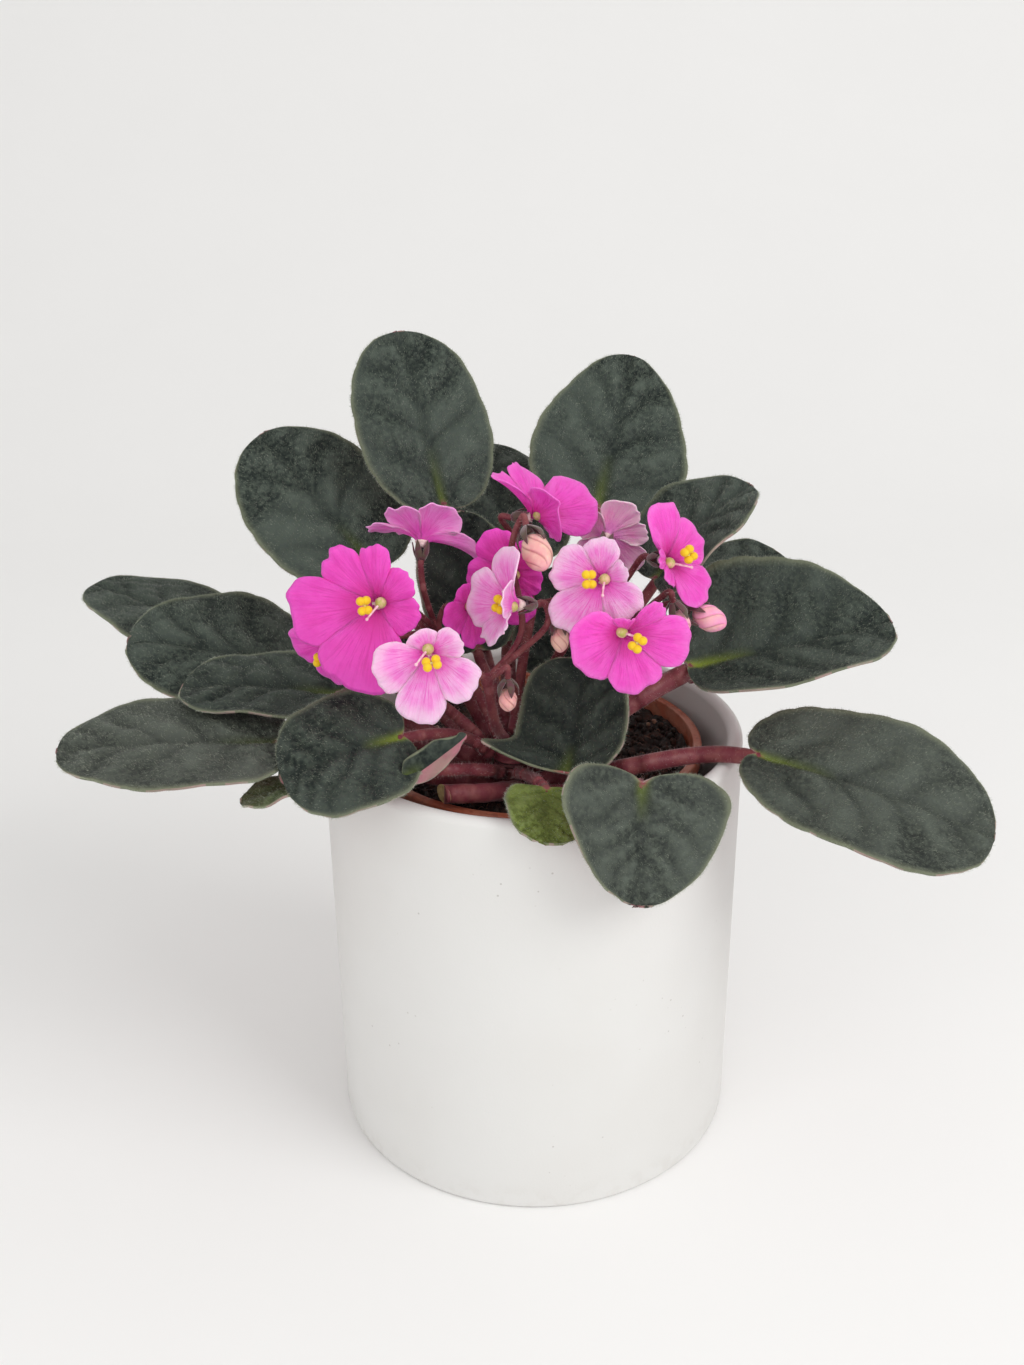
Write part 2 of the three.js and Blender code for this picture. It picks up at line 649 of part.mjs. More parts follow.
function cachepot() {
  const { radius, height, wall, floor, rimRound, footRound } = CACHEPOT;
  const inner = radius - wall;
  const rim = [];
  for (let i = 0; i <= 4; i++) {
    const angle = (Math.PI * i) / 4;
    const [across, up] = [rimRound * Math.cos(angle), rimRound * Math.sin(angle)];
    rim.push([radius - rimRound + across, height - rimRound + up]);
  }
  return lathe(
    [
      [0, 0],
      [radius - footRound, 0],
      [radius, footRound],
      ...rim,
      [inner, floor + 4],
      [inner - 4, floor],
      [0, floor],
    ],
    44,
  );
}

const nurseryInnerRadius = (z) => {
  const { rimRadius, footRadius, wall, rimZ } = NURSERY;
  return footRadius + ((rimRadius - footRadius) * (z - CACHEPOT.floor)) / (rimZ - CACHEPOT.floor) - wall;
};

function nurseryPot() {
  const { rimRadius, footRadius, wall, rimZ, lip, lipDepth } = NURSERY;
  const bottomZ = CACHEPOT.floor + GAP;
  const shell = lathe(
    [
      [0, bottomZ],
      [footRadius, bottomZ],
      [rimRadius, rimZ - lipDepth],
      [rimRadius + lip, rimZ - lipDepth],
      [rimRadius + lip, rimZ - 0.7],
      [rimRadius + lip - 0.7, rimZ],
      [rimRadius - wall, rimZ],
      [footRadius - wall, bottomZ + wall],
      [0, bottomZ + wall],
    ],
    32,
  );
  let solid = solidOf(shell);
  for (let i = 0; i < DRAIN.count; i++) {
    const angle = (2 * Math.PI * i) / DRAIN.count;
    const hole = new THREE.CylinderGeometry(DRAIN.radius, DRAIN.radius, 10, 8).rotateX(Math.PI / 2);
    hole.translate(DRAIN.ring * Math.cos(angle), DRAIN.ring * Math.sin(angle), bottomZ);
    solid = solid.subtract(solidOf(hole));
  }
  return geometryOf(solid).translate(NURSERY.x, NURSERY.y, 0);
}

function soilHeight(x, y) {
  const crumbs = Math.sin(x * 0.31 + 1) * Math.cos(y * 0.27) + 0.6 * Math.sin(x * 0.83 - y * 0.71);
  const fromCrown = Math.hypot(x - CROWN.x, y - CROWN.y);
  const fromCentre = Math.hypot(x - NURSERY.x, y - NURSERY.y);
  const mound = SOIL.crownMound * Math.exp(-((fromCrown / 22) ** 2));
  const bank = SOIL.bank * (fromCentre / NURSERY.rimRadius) ** 6;
  return SOIL.surfaceZ + (SOIL.roughness / 2) * crumbs + mound + bank;
}

function soil() {
  const bottomZ = CACHEPOT.floor + NURSERY.wall + 2 * GAP;
  const bottomRadius = nurseryInnerRadius(bottomZ) - GAP - 0.6;
  const topRadius = nurseryInnerRadius(SOIL.surfaceZ) - GAP - 0.5;
  const rings = [];
  for (let ring = 1; ring <= 6; ring++) rings.push([(topRadius * ring) / 6, SOIL.surfaceZ]);
  const body = lathe([[0, bottomZ], [bottomRadius, bottomZ], ...rings.reverse(), [0, SOIL.surfaceZ]], 30);
  body.translate(NURSERY.x, NURSERY.y, 0);
  const position = body.attributes.position;
  for (let i = 0; i < position.count; i++) {
    if (position.getZ(i) > bottomZ + 1) position.setZ(i, soilHeight(position.getX(i), position.getY(i)));
  }
  const depth = 30;
  const holeRadius = CROWN.radius + GAP;
  const hole = new THREE.CylinderGeometry(holeRadius, holeRadius, depth, 14).rotateX(Math.PI / 2);
  hole.translate(CROWN.x, CROWN.y, CROWN.bottomZ - GAP + depth / 2);
  return geometryOf(solidOf(body).subtract(solidOf(hole)));
}

function crown() {
  const { x, y, radius, bottomZ, topZ } = CROWN;
  return lathe(
    [
      [0, bottomZ],
      [radius - 1.5, bottomZ],
      [radius - 0.2, bottomZ + 3],
      [radius - 0.2, topZ - 4],
      [radius - 2, topZ],
      [0, topZ + 0.6],
    ],
    12,
  ).translate(x, y, 0);
}

// The stub of a leaf that was taken off: its petiole, cut square, lying over the soil.
const STUB = { points: [[-4, -34, 133.5], [-14, -42, 136.5], [-28, -44.5, 137.4]], radius: 2.9 };

// ---------- the object ----------
const violet = new THREE.Group();
function add(name, geometry, material) {
  const mesh = new THREE.Mesh(geometry, material);
  mesh.name = name;
  violet.add(mesh);
}

add("cachepot", cachepot(), MATERIAL.ceramic);
add("nursery_pot", nurseryPot(), MATERIAL.terracottaPlastic);
add("soil", soil(), MATERIAL.peat);
add("crown", crown(), MATERIAL.redStem);
add("cut_petiole", tube(STUB.points.map(at), STUB.radius, 8, 5), MATERIAL.redStem);
for (const [name, shape] of Object.entries(LEAVES)) add(name, leaf(shape), MATERIAL.leaf);
for (const [name, shape] of Object.entries(STALKS)) add(name, stalk(shape), MATERIAL.redStem);
for (const [name, shape] of Object.entries(BLOOMS)) {
  add(`bloom_${name}`, corolla(shape), MATERIAL.petal);
  add(`anthers_${name}`, anthers(shape), MATERIAL.anther);
}
for (const [name, shape] of Object.entries(BUDS)) add(`bud_${name}`, bud(shape), MATERIAL.bud);

export default violet;
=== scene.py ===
"""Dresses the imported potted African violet: leaves, blooms, stalks, pots and soil, and a plain stage."""
import random
from math import acos, atan2, cos, exp, hypot, pi, radians, sin, sqrt

import bmesh
import bpy
from mathutils import Matrix, Vector, noise


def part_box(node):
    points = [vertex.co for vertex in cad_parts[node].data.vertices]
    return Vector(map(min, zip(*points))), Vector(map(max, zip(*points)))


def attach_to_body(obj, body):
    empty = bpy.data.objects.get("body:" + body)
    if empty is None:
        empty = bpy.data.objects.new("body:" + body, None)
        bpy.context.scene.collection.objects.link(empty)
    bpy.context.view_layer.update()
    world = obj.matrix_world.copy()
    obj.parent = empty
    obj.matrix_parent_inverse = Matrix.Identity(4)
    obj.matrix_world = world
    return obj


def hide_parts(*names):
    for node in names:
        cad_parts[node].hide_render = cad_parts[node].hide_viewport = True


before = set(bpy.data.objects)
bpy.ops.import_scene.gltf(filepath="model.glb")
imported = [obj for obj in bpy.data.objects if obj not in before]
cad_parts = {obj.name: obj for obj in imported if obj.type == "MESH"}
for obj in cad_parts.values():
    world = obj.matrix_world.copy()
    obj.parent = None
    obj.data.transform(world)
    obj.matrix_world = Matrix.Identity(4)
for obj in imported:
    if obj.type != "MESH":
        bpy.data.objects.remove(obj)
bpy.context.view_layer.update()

bl_info = {
    "name": "Potted African Violet",
    "version": (1, 0, 0),
    "blender": (4, 5, 0),
    "location": "3D View > Sidebar > Violet",
    "description": "Dresses a packed potted African violet with leaves, blooms, pots and soil",
    "category": "Object",
}

MM = 0.001
POT_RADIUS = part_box("cachepot")[1].x / MM
POT_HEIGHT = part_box("cachepot")[1].z / MM
NURSERY_LOW, NURSERY_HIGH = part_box("nursery_pot")
SOIL_LOW, SOIL_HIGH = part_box("soil")
CROWN_LOW, CROWN_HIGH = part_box("crown")
CROWN_X = (CROWN_LOW.x + CROWN_HIGH.x) / 2 / MM
CROWN_Y = (CROWN_LOW.y + CROWN_HIGH.y) / 2 / MM
CROWN_RADIUS = 6.5
CROWN_TIERS = ((131.6, 12), (137, 32), (142, 55))  # height where petioles leave the crown, and their rise

# ---------- the plant's own measures, in millimetres and degrees, as in the part's source ----------
# base: where the petiole meets the blade. root: the petiole's azimuth and tier on the crown.
# stem: its radius. arrive: its rise at the blade. attach: how far along a cupped blade, 0 to 1, it ends.
# arch: the blade's bend along it. cup: how far its sides rise. lobe, taper and blunt: its outline.
# flap: a lobe that curls up on its own. beak: a lobe that is drawn out.
# tint: from -1, greyed, over 0, the common dark green, to 1, yellow-green.
# dim: painted shade for the leaves deep in the plant, which are darkened and less hairy. streak: how green
# the midrib's base is.
LEAVES = {
    "leaf_left_back": dict(
        base=(-94, 45, 144), azimuth=163, rise=18, length=71, width=54, arch=16, taper=0.15, lobe=7,
        blunt=0.72, root=(146, 1), arrive=-8),
    "leaf_left_upper": dict(
        base=(-79, 18, 152), azimuth=187, rise=14, roll=21, length=55, width=58, arch=22, taper=0.2,
        lobe=7, blunt=0.8, root=(162, 0)),
    "leaf_left_middle": dict(
        base=(-59, -18, 159), azimuth=178, rise=2, roll=10, length=49, width=35, arch=18, cup=0.03,
        lobe=4, root=(188, 1), arrive=4, painted_shade=0.55),
    "leaf_left_front": dict(
        base=(-74.5, -37, 152), azimuth=190, rise=2, roll=6, length=64, width=52, arch=11,
        taper=0.1, lobe=6, blunt=0.85, root=(204, 0), streak=0.2, tint=-0.7),
    "leaf_left_low": dict(
        base=(-60, -52, 148), azimuth=186, rise=-16, length=25, width=18, arch=10, lobe=3,
        root=(244, 1), arrive=0, tint=0.3),
    "leaf_front_left": dict(
        base=(-37.5, -45, 157), azimuth=200, rise=-12, roll=26, length=37, width=43, arch=27, lobe=6,
        blunt=0.75, root=(214, 2), streak=1, painted_shade=0.35,
        flap=dict(base=(-36.5, -57, 149), azimuth=20, rise=30, roll=100, length=21, width=9, taper=0.4,
                  blunt=1)),
    "leaf_back_left": dict(
        base=(-50, 15, 188), azimuth=140, rise=35, roll=23, length=63, width=51, arch=3, cup=-0.05,
        lobe=5, taper=0.07, blunt=0.95, root=(138, 2)),
    "leaf_back_tall": dict(
        base=(-28, 24, 206), azimuth=114, rise=53, roll=1, length=62, width=46, arch=7, cup=-0.07,
        lobe=5, blunt=0.9, root=(102, 1)),
    "leaf_back_middle": dict(
        base=(-8, 36, 187), azimuth=101, rise=31, roll=-12, length=51, width=50, arch=15,
        taper=0.13, lobe=6, root=(96, 0), painted_shade=0.35),
    "leaf_back_right": dict(
        base=(22, 42, 200), azimuth=73, rise=42, roll=-19, length=63, width=50, arch=12, cup=0.07,
        lobe=5, taper=0.4, blunt=0.8, root=(60, 1)),
    "leaf_right_upper": dict(
        base=(38, 6, 187), azimuth=15, rise=42, roll=-1, length=42, width=54, arch=29, cup=0.16,
        lobe=5, taper=0.14, blunt=0.78, root=(24, 2)),
    "leaf_right_back": dict(
        base=(51, 27, 168), azimuth=34, rise=18, roll=-16, length=43, width=37, arch=15, lobe=6,
        root=(45, 0)),
    "leaf_right": dict(
        base=(48, -12, 165), azimuth=9, rise=9.5, roll=-20, length=65, width=58, arch=1, cup=0.44,
        lobe=4, taper=0.17, blunt=0.9, stem=3.3, root=(6, 1), arrive=25, streak=1, painted_shade=0.25),
    "leaf_right_front": dict(
        base=(67, -33, 145), azimuth=-14, rise=-15, roll=-21, length=73, width=56, arch=17,
        cup=0.07, lobe=10, taper=-0.1, blunt=0.95, stem=2.8, root=(-18, 0), streak=0.6, tint=-0.5),
    "leaf_front_cup": dict(
        base=(9.5, -44, 144.5), azimuth=80, rise=42, length=39.5, width=33, arch=-75, cup=0.25,
        blunt=0.6, attach=0.3, root=(-28, 2), painted_shade=0.95, beak=dict(at=0.6, spread=0.35, reach=12, lift=7)),
    "leaf_front_heart": dict(
        base=(31, -60, 149), azimuth=-93, rise=-54, roll=30, length=34, width=50, arch=0, cup=0.12,
        lobe=9, taper=0.4, blunt=0.8, root=(-52, 0), arrive=20, tint=-0.4),
    "leaf_front_small": dict(
        base=(4, -55, 145), azimuth=-89, rise=-16, roll=8, length=22, width=24, arch=30, lobe=3,
        taper=0.15, root=(-80, 1), arrive=6, tint=0.9),
    "leaf_inner_back": dict(
        base=(-17, 0, 166), azimuth=112, rise=62, length=44, width=32, arch=-15, cup=0.1, lobe=4,
        root=(100, 2), painted_shade=0.95),
    "leaf_inner_left": dict(
        base=(-27, -22, 158), azimuth=165, rise=50, length=30, width=26, arch=-20, cup=0.15, lobe=3,
        root=(174, 2), painted_shade=0.95),
    "leaf_inner_right": dict(
        base=(7, -1, 158), azimuth=72, rise=60, length=34, width=32, arch=-15, cup=0.12, lobe=4,
        root=(62, 2), painted_shade=0.95),
}
SMALL_LEAF = 48  # blades shorter than this have the thinner petiole
THIN_PETIOLE, THICK_PETIOLE = 1.9, 2.5  # radii
BLADE_WAVE = 0.9
STUB_SIDES = 20
STUB = dict(points=((-4, -34, 133.5), (-14, -42, 136.5), (-28, -44.5, 137.4)), radius=2.9)
CUT_SLANT = 3.5  # how much shorter the stub is at its front than at its back

# centre: the throat. azimuth and elevation: where the bloom faces. size: how long a petal of length 1 is.
# anther, out, lift: where the anthers stand round, off and along the axis. style: where the style points.
# petals: (angle from the top, clockwise as the face is seen; length; width; opening above the face plane)
PLAIN_PETALS = ((-36, 0.7, 0.85, 32), (36, 0.7, 0.85, 32), (105, 0.95, 1, 18), (180, 1, 1.05, 14),
                (-105, 0.95, 1, 18))
BLOOMS = {
    "left_large": dict(
        centre=(-43, -42, 196.5), azimuth=-95, elevation=16, size=26, anther=-100, style=205, tone="rich",
        petals=((-42, 0.8, 0.9, 20), (-3, 0.7, 0.8, 26), (48, 0.57, 0.85, 32), (108, 0.5, 0.8, 15),
                (200, 1.03, 0.95, 8), (-95, 1.04, 0.95, 8))),
    "left_hidden": dict(
        centre=(-58, -33, 182), azimuth=-115, elevation=-12, size=16, anther=180, style=140, lift=1.6,
        tone="magenta", petals=PLAIN_PETALS),
    "left_front": dict(
        centre=(-28, -56, 187), azimuth=-88, elevation=22, size=19, anther=165, style=228, tone="edged",
        petals=((-25, 0.5, 1, 45), (70, 0.62, 0.9, 35), (133, 0.9, 1, 15), (192, 1.05, 1, 8),
                (-115, 0.9, 1, 15))),
    "centre": dict(
        centre=(-4.5, -40, 195), azimuth=-148, elevation=10, size=18, anther=-80, style=20, out=0.4,
        tone="edged",
        petals=((-6, 1, 1.1, 22), (66, 0.95, 1.1, 57), (130, 0.8, 0.8, 50), (180, 0.9, 0.9, 45),
                (-97, 1.05, 1.1, 36))),
    # centre_back takes the deep tone as painted shade, since it sits behind the other blooms.
    "centre_back": dict(
        centre=(-6, -14, 196), azimuth=-92, elevation=5, size=17, anther=-64, style=240, tone="deep",
        petals=((-22, 0.95, 1, 25), (30, 0.85, 0.85, 40), (112, 0.7, 0.9, 35), (172, 1, 1, 14),
                (-105, 0.85, 1, 18))),
    "centre_left": dict(
        centre=(-18.5, -24, 189), azimuth=-45, elevation=15, size=13, anther=90, style=240, tone="deep",
        petals=PLAIN_PETALS),
    "back_left": dict(
        centre=(-33, -10, 205), azimuth=90, elevation=55, size=17, anther=0, style=180, out=1,
        tone="pink",
        petals=((-40, 1, 1, 40), (38, 0.95, 1, 40), (88, 1.05, 0.6, 24), (180, 0.9, 1, 45),
                (-98, 1.05, 0.6, -3))),
    "top": dict(
        centre=(0.5, -8, 211.5), azimuth=-10, elevation=8, size=17, anther=105, style=70, out=0.2,
        tone="magenta",
        petals=((-14, 0.95, 0.9, -22), (30, 1, 0.7, -4), (102, 1.6, 1.1, 60), (180, 0.6, 0.6, 45),
                (-68, 1.1, 1.4, 52))),
    "back_right": dict(
        centre=(23, 3, 201.5), azimuth=82, elevation=15, size=15, anther=20, style=100, tone="pale",
        petals=((70, 0.7, 0.9, 30), (150, 0.9, 1, 20), (-40, 0.95, 0.8, 18), (-86, 0.9, 0.8, 18),
                (-138, 1.1, 0.9, 18))),
    "right_front": dict(
        centre=(19.5, -39, 202), azimuth=-100, elevation=20, size=18, anther=-95, style=165, tone="edged",
        petals=((5, 0.75, 0.9, 30), (66, 0.6, 0.8, 42), (128, 0.85, 1, 24), (215, 1.05, 1.1, 12),
                (282, 0.85, 1, 15))),
    "right_low": dict(
        centre=(25.5, -47, 189), azimuth=-84, elevation=12, size=20, anther=125, style=100, lift=2.4,
        tone="magenta",
        petals=((5, 0.5, 0.6, 62), (48, 0.8, 0.5, 36), (104, 1, 0.95, 18), (162, 0.9, 1, 18),
                (-118, 0.85, 1, 18))),
    "right": dict(
        centre=(38.5, -28, 204), azimuth=-47, elevation=10, size=18, anther=60, style=125, lift=1.2,
        tone="magenta",
        petals=((-8, 1, 0.8, 16), (74, 0.85, 1.1, 20), (148, 1.05, 1.15, 34), (-140, 0.6, 0.8, 45),
                (-75, 0.5, 0.7, 40))),
}
PETAL_CURL = 0.22
NOTCH = 0.78  # where two petals part in the solids, as a share of the shorter one
FURLED_PETALS = 5
THROAT_DEPTH = 2.6
CALYX_BACK = THROAT_DEPTH + 0.3

# centre: the middle. azimuth and elevation: where the tip points. blush: how pink the furled petals are.
BUDS = {
    "top": dict(centre=(1.5, -33, 208), azimuth=-60, elevation=-45, radius=4.4, length=11.5),
    "low": dict(centre=(-7, -45, 168), azimuth=-90, elevation=-85, radius=2.7, length=7),
    "middle": dict(centre=(8, -34, 182), azimuth=-80, elevation=-75, radius=2.7, length=7.5),
    "right": dict(centre=(42.5, -34, 187), azimuth=10, elevation=-70, radius=3, length=8.5, blush=0.5),
    "right_outer": dict(centre=(51.5, -29, 186.5), azimuth=-15, elevation=-20, radius=3.9, length=10.5,
                        blush=0.6),
}

# stem: from the crown to the fork. branches: (what it carries, the points between)
STALKS = {
    "stalk_front": dict(
        stem=((-7, -28, 145.2), (-11, -35, 156), (-13, -38, 171)),
        branches=((BLOOMS["left_front"], ((-19, -41, 178), (-26, -46, 184))),
                  (BLOOMS["centre"], ((-6, -36, 177), (4, -34, 186))),
                  (BUDS["low"], ((-9, -43, 176),)),
                  (BUDS["top"], ((-3, -32, 184), (-6, -26, 205))))),
    "stalk_left": dict(
        stem=((-10.5, -22, 145.2), (-19, -18, 163), (-29, -15, 178)),
        branches=((BLOOMS["left_large"], ((-37, -25, 190),)),
                  (BLOOMS["left_hidden"], ((-42, -28, 181),)),
                  (BLOOMS["back_left"], ((-32, -17, 190),)),
                  (BLOOMS["centre_left"], ((-27, -15, 184),)))),
    "stalk_back": dict(
        stem=((-6, -18.5, 145.2), (-3, -10, 165), (0, -6, 182)),
        branches=((BLOOMS["centre_back"], ((-6, 1, 190),)),
                  (BLOOMS["top"], ((-2, -3, 198),)),
                  (BLOOMS["back_right"], ((14, -8, 188),)))),
    "stalk_right": dict(
        stem=((-1.5, -22, 145.2), (5, -10, 161), (14, -10, 178)),
        branches=((BLOOMS["right_front"], ((18, -20, 191),)),
                  (BLOOMS["right_low"], ((21, -33, 181),)),
                  (BLOOMS["right"], ((26, -15, 191),)),
                  (BUDS["middle"], ((10, -26, 187),)),
                  (BUDS["right"], ((29, -20, 183), (36, -29, 192))),
                  (BUDS["right_outer"], ((30, -18, 184),)))),
}


# ---------- what a user would change ----------
def length_property(name, description, default):
    return bpy.props.FloatProperty(
        name=name, description=description, default=default, unit="LENGTH", min=0)


def colour_property(name, description, default):
    return bpy.props.FloatVectorProperty(
        name=name, description=description, default=default, subtype="COLOR", size=3, min=0, max=1)


class VioletLeafSettings(bpy.types.PropertyGroup):
    thickness: length_property("Blade thickness", "Thickness of a leaf blade", 0.7 * MM)
    quilting: length_property("Quilting depth", "How far a blade swells between side veins", 1.7 * MM)
    hair_length: length_property("Hair length", "Length of the hairs on blades and rims", 1.1 * MM)
    hair_width: length_property("Hair width", "Width of a blade's hair at its foot", 0.055 * MM)
    stem_hair_length: length_property("Stem hair length", "Length of the hairs on stems", 1.6 * MM)
    stem_hair_width: length_property("Stem hair width", "Width of a stem's hair at its foot", 0.08 * MM)
    hairs_each: bpy.props.IntProperty(
        name="Hairs on a leaf", description="Hairs over a large leaf's upper face", default=3600, min=0)
    green: colour_property("Leaf green", "The upper side of a leaf", (0.041, 0.053, 0.046))
    # The vein green gives random darker patches, and as painted shade it darkens the quilted valleys and
    # the leaves deep in the plant.
    dark_green: colour_property("Vein green", "The valleys along a leaf's veins", (0.007, 0.011, 0.010))
    grey_green: colour_property("Grey green", "The oldest leaves", (0.072, 0.074, 0.064))
    young_green: colour_property("Young green", "A young leaf or a streak", (0.20, 0.26, 0.035))
    underside: colour_property("Underside", "The lower side of a leaf", (0.42, 0.16, 0.20))
    red: colour_property("Stem red", "Petioles and flower stalks", (0.17, 0.032, 0.044))


class VioletBloomSettings(bpy.types.PropertyGroup):
    thickness: length_property("Petal thickness", "Thickness of a petal", 0.35 * MM)
    magenta: colour_property("Magenta", "A fully coloured petal", (0.94, 0.070, 0.53))
    # The deep magenta is the throat's and the veins' own colour; as the deep tone on centre_back it is
    # painted shade.
    deep: colour_property("Deep magenta", "A young or shaded petal, and the throat", (0.66, 0.028, 0.29))
    light: colour_property("Light pink", "A petal that has opened lately", (0.96, 0.25, 0.66))
    pale: colour_property("Pale edge", "A petal's edge, and the palest bloom", (0.98, 0.60, 0.82))
    yellow: colour_property("Anther yellow", "Anthers", (0.86, 0.58, 0.005))
    bud: colour_property("Bud", "Furled petals of a bud", (0.84, 0.48, 0.38))


class VioletPotSettings(bpy.types.PropertyGroup):
    wall: length_property("Cachepot wall", "Thickness of the outer pot's wall", 5 * MM)
    floor: length_property("Cachepot floor", "Thickness of the outer pot's floor", 6 * MM)
    lip: length_property("Nursery pot lip", "How far the inner pot's lip stands out", 1.5 * MM)
    ceramic: colour_property("Ceramic", "The outer pot", (0.71, 0.705, 0.69))
    terracotta: colour_property("Terracotta", "The inner pot", (0.40, 0.10, 0.05))
    peat: colour_property("Peat", "The soil", (0.016, 0.010, 0.008))


# ---------- shaping ----------
def direction(azimuth, elevation):
    a, e = radians(azimuth), radians(elevation)
    return Vector((cos(a) * cos(e), sin(a) * cos(e), sin(e)))


def frame_of(x, y, z, origin):
    """A matrix from three axes and an origin in millimetres."""
    axes = Matrix((x, y, z)).transposed().to_4x4()
    return Matrix.Translation(Vector(origin)) @ axes


def blade_frame(base, azimuth, rise, roll=0, **_):
    forward = direction(azimuth, rise)
    right = Matrix.Rotation(-radians(roll), 3, forward) @ direction(azimuth - 90, 0)
    return frame_of(right, forward, right.cross(forward), base)


def bloom_frame(centre, azimuth, elevation, **_):
    facing = direction(azimuth, elevation)
    up = direction(azimuth, elevation + 90)
    return frame_of(up.cross(facing), up, facing, centre)


def in_plane(angle, radius, z):
    return Vector((radius * sin(radians(angle)), radius * cos(radians(angle)), z))


def behind(place, distance):
    return bloom_frame(**place) @ Vector((0, 0, -distance))


def smooth_path(points, steps):
    """Points along a smooth curve through the given ones."""
    points = [Vector(p) for p in points]
    padded = [2 * points[0] - points[1], *points, 2 * points[-1] - points[-2]]
    path = []
    for a, b, c, d in zip(padded, padded[1:], padded[2:], padded[3:]):
        for step in range(steps):
            t = step / steps
            path.append(0.5 * (2 * b + (c - a) * t + (2 * a - 5 * b + 4 * c - d) * t**2
                               + (3 * b - a - 3 * c + d) * t**3))
    return path + [points[-1]]


def bezier(a, b, c, d, steps):
    for step in range(steps + 1):
        t = step / steps
        yield a * (1 - t)**3 + b * 3 * t * (1 - t)**2 + c * 3 * t * t * (1 - t) + d * t**3


def ring_matrices(path, radii, flatness=1):
    """A placed and sized ring for each point of a path, without twist."""
    turn = None
    for i, point in enumerate(path):
        tangent = (path[min(i + 1, len(path) - 1)] - path[max(i - 1, 0)]).normalized()
        if turn is None:
            turn = tangent.to_track_quat("Z", "Y")
        else:
            turn = (turn @ Vector((0, 0, 1))).rotation_difference(tangent) @ turn
        size = Matrix.Diagonal((radii[i], radii[i] * flatness, radii[i], 1))
        yield Matrix.Translation(point) @ turn.to_matrix().to_4x4() @ size


def sweep(target, path, radii, sides=8, material=0, flatness=1):
    """Adds a closed tube: a disc that is extruded from ring to ring along the path."""
    bm = bmesh.new()
    rings = list(ring_matrices(path, radii, flatness))
    made = bmesh.ops.create_circle(bm, cap_ends=True, segments=sides, radius=1, matrix=rings[0])
    cap = made["verts"][0].link_faces[0]
    for last, ring in zip(rings, rings[1:]):
        made = bmesh.ops.extrude_face_region(bm, geom=[cap])["geom"]
        cap = next(g for g in made if isinstance(g, bmesh.types.BMFace))
        bmesh.ops.transform(bm, matrix=ring @ last.inverted(), verts=cap.verts)
    bmesh.ops.recalc_face_normals(bm, faces=bm.faces)
    paint(bm.faces, material)
    pour(bm, target)


def paint(faces, material=0, smooth=True):
    for face in faces:
        face.material_index = material
        face.smooth = smooth


def pour(source, target):
    """Adds one bmesh to another and frees it."""
    mesh = bpy.data.meshes.new("poured")
    source.to_mesh(mesh)
    source.free()
    target.from_mesh(mesh)
    bpy.data.meshes.remove(mesh)


def in_batches(items, make, each=600):
    """Calls make(bm, item) for each item. Small bmeshes poured together keep the operators quick."""
    whole, batch = bmesh.new(), bmesh.new()
    for count, item in enumerate(items, 1):
        make(batch, item)
        if count % each == 0:
            pour(batch, whole)
            batch = bmesh.new()
    pour(batch, whole)
    return whole


def ball(target, centre, radius, matrix=Matrix.Identity(4), scale=(1, 1, 1), material=0, detail=2):
    place = matrix @ Matrix.Translation(centre) @ Matrix.Diagonal((*scale, 1))
    made = bmesh.ops.create_icosphere(target, subdivisions=detail, radius=radius, matrix=place)
    paint({face for vert in made["verts"] for face in vert.link_faces}, material)


PINCHED = 0.01  # points of a sheet that are closer than this become one, as at a blade's tip


def sheet(columns, rows, place, thickness):
    """A closed thin sheet. place(s, r) gives a point for s across, -1 to 1, and r along, 0 to 1.
    Its upper faces have material 0 and its lower faces material 1; s and r are kept as attributes."""
    bm = bmesh.new()
    uv = bm.loops.layers.uv.new("sheet")
    across = bm.verts.layers.float.new("across")
    along = bm.verts.layers.float.new("along")
    up = bm.verts.layers.float_vector.new("up")
    bmesh.ops.create_grid(bm, x_segments=columns, y_segments=rows, size=1, calc_uvs=False)
    for vert in bm.verts:
        vert[across], vert[along] = vert.co.x, (vert.co.y + 1) / 2
    for face in bm.faces:
        for loop in face.loops:
            loop[uv].uv = ((loop.vert[across] + 1) / 2, loop.vert[along])
    for vert in bm.verts:
        vert.co = place(vert[across], vert[along])
    bmesh.ops.remove_doubles(bm, verts=bm.verts, dist=PINCHED)
    bmesh.ops.recalc_face_normals(bm, faces=bm.faces)
    centre = place(0, 0.5)
    upward = (place(0.1, 0.5) - centre).cross(place(0, 0.55) - centre)
    middle = min(bm.faces, key=lambda face: (face.calc_center_median() - centre).length_squared)
    if middle.normal.dot(upward) < 0:
        bmesh.ops.reverse_faces(bm, faces=bm.faces)
    bm.normal_update()
    for vert in bm.verts:
        vert[up] = vert.normal
    bmesh.ops.solidify(bm, geom=bm.faces[:], thickness=thickness)
    if bm.calc_volume(signed=True) < 0:
        bmesh.ops.reverse_faces(bm, faces=bm.faces)
    bm.normal_update()
    for face in bm.faces:
        lift = sum((vert[up] for vert in face.verts), Vector()).dot(face.normal)
        face.material_index = 1 if lift < 0 else 0
        face.smooth = True
    return bm


def as_object(name, bm, materials=()):
    """Turns a bmesh into an object of the scene and frees it."""
    mesh = bpy.data.meshes.new(name)
    bm.to_mesh(mesh)
    bm.free()
    made = bpy.data.objects.new(name, mesh)
    bpy.context.scene.collection.objects.link(made)
    for material in materials:
        mesh.materials.append(material)
    return made


def finished(name, bm, materials, replaced=()):
    """Turns a bmesh in millimetres into a finished piece in metres."""
    bmesh.ops.scale(bm, vec=(MM, MM, MM), verts=bm.verts)
    piece = as_object(name, bm, materials)
    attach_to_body(piece, "root")
    if replaced:
        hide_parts(*replaced)
    return piece


# ---------- materials ----------
MIX_A, MIX_B, MIX_RESULT = 6, 7, 2  # the colour sockets of a Mix node


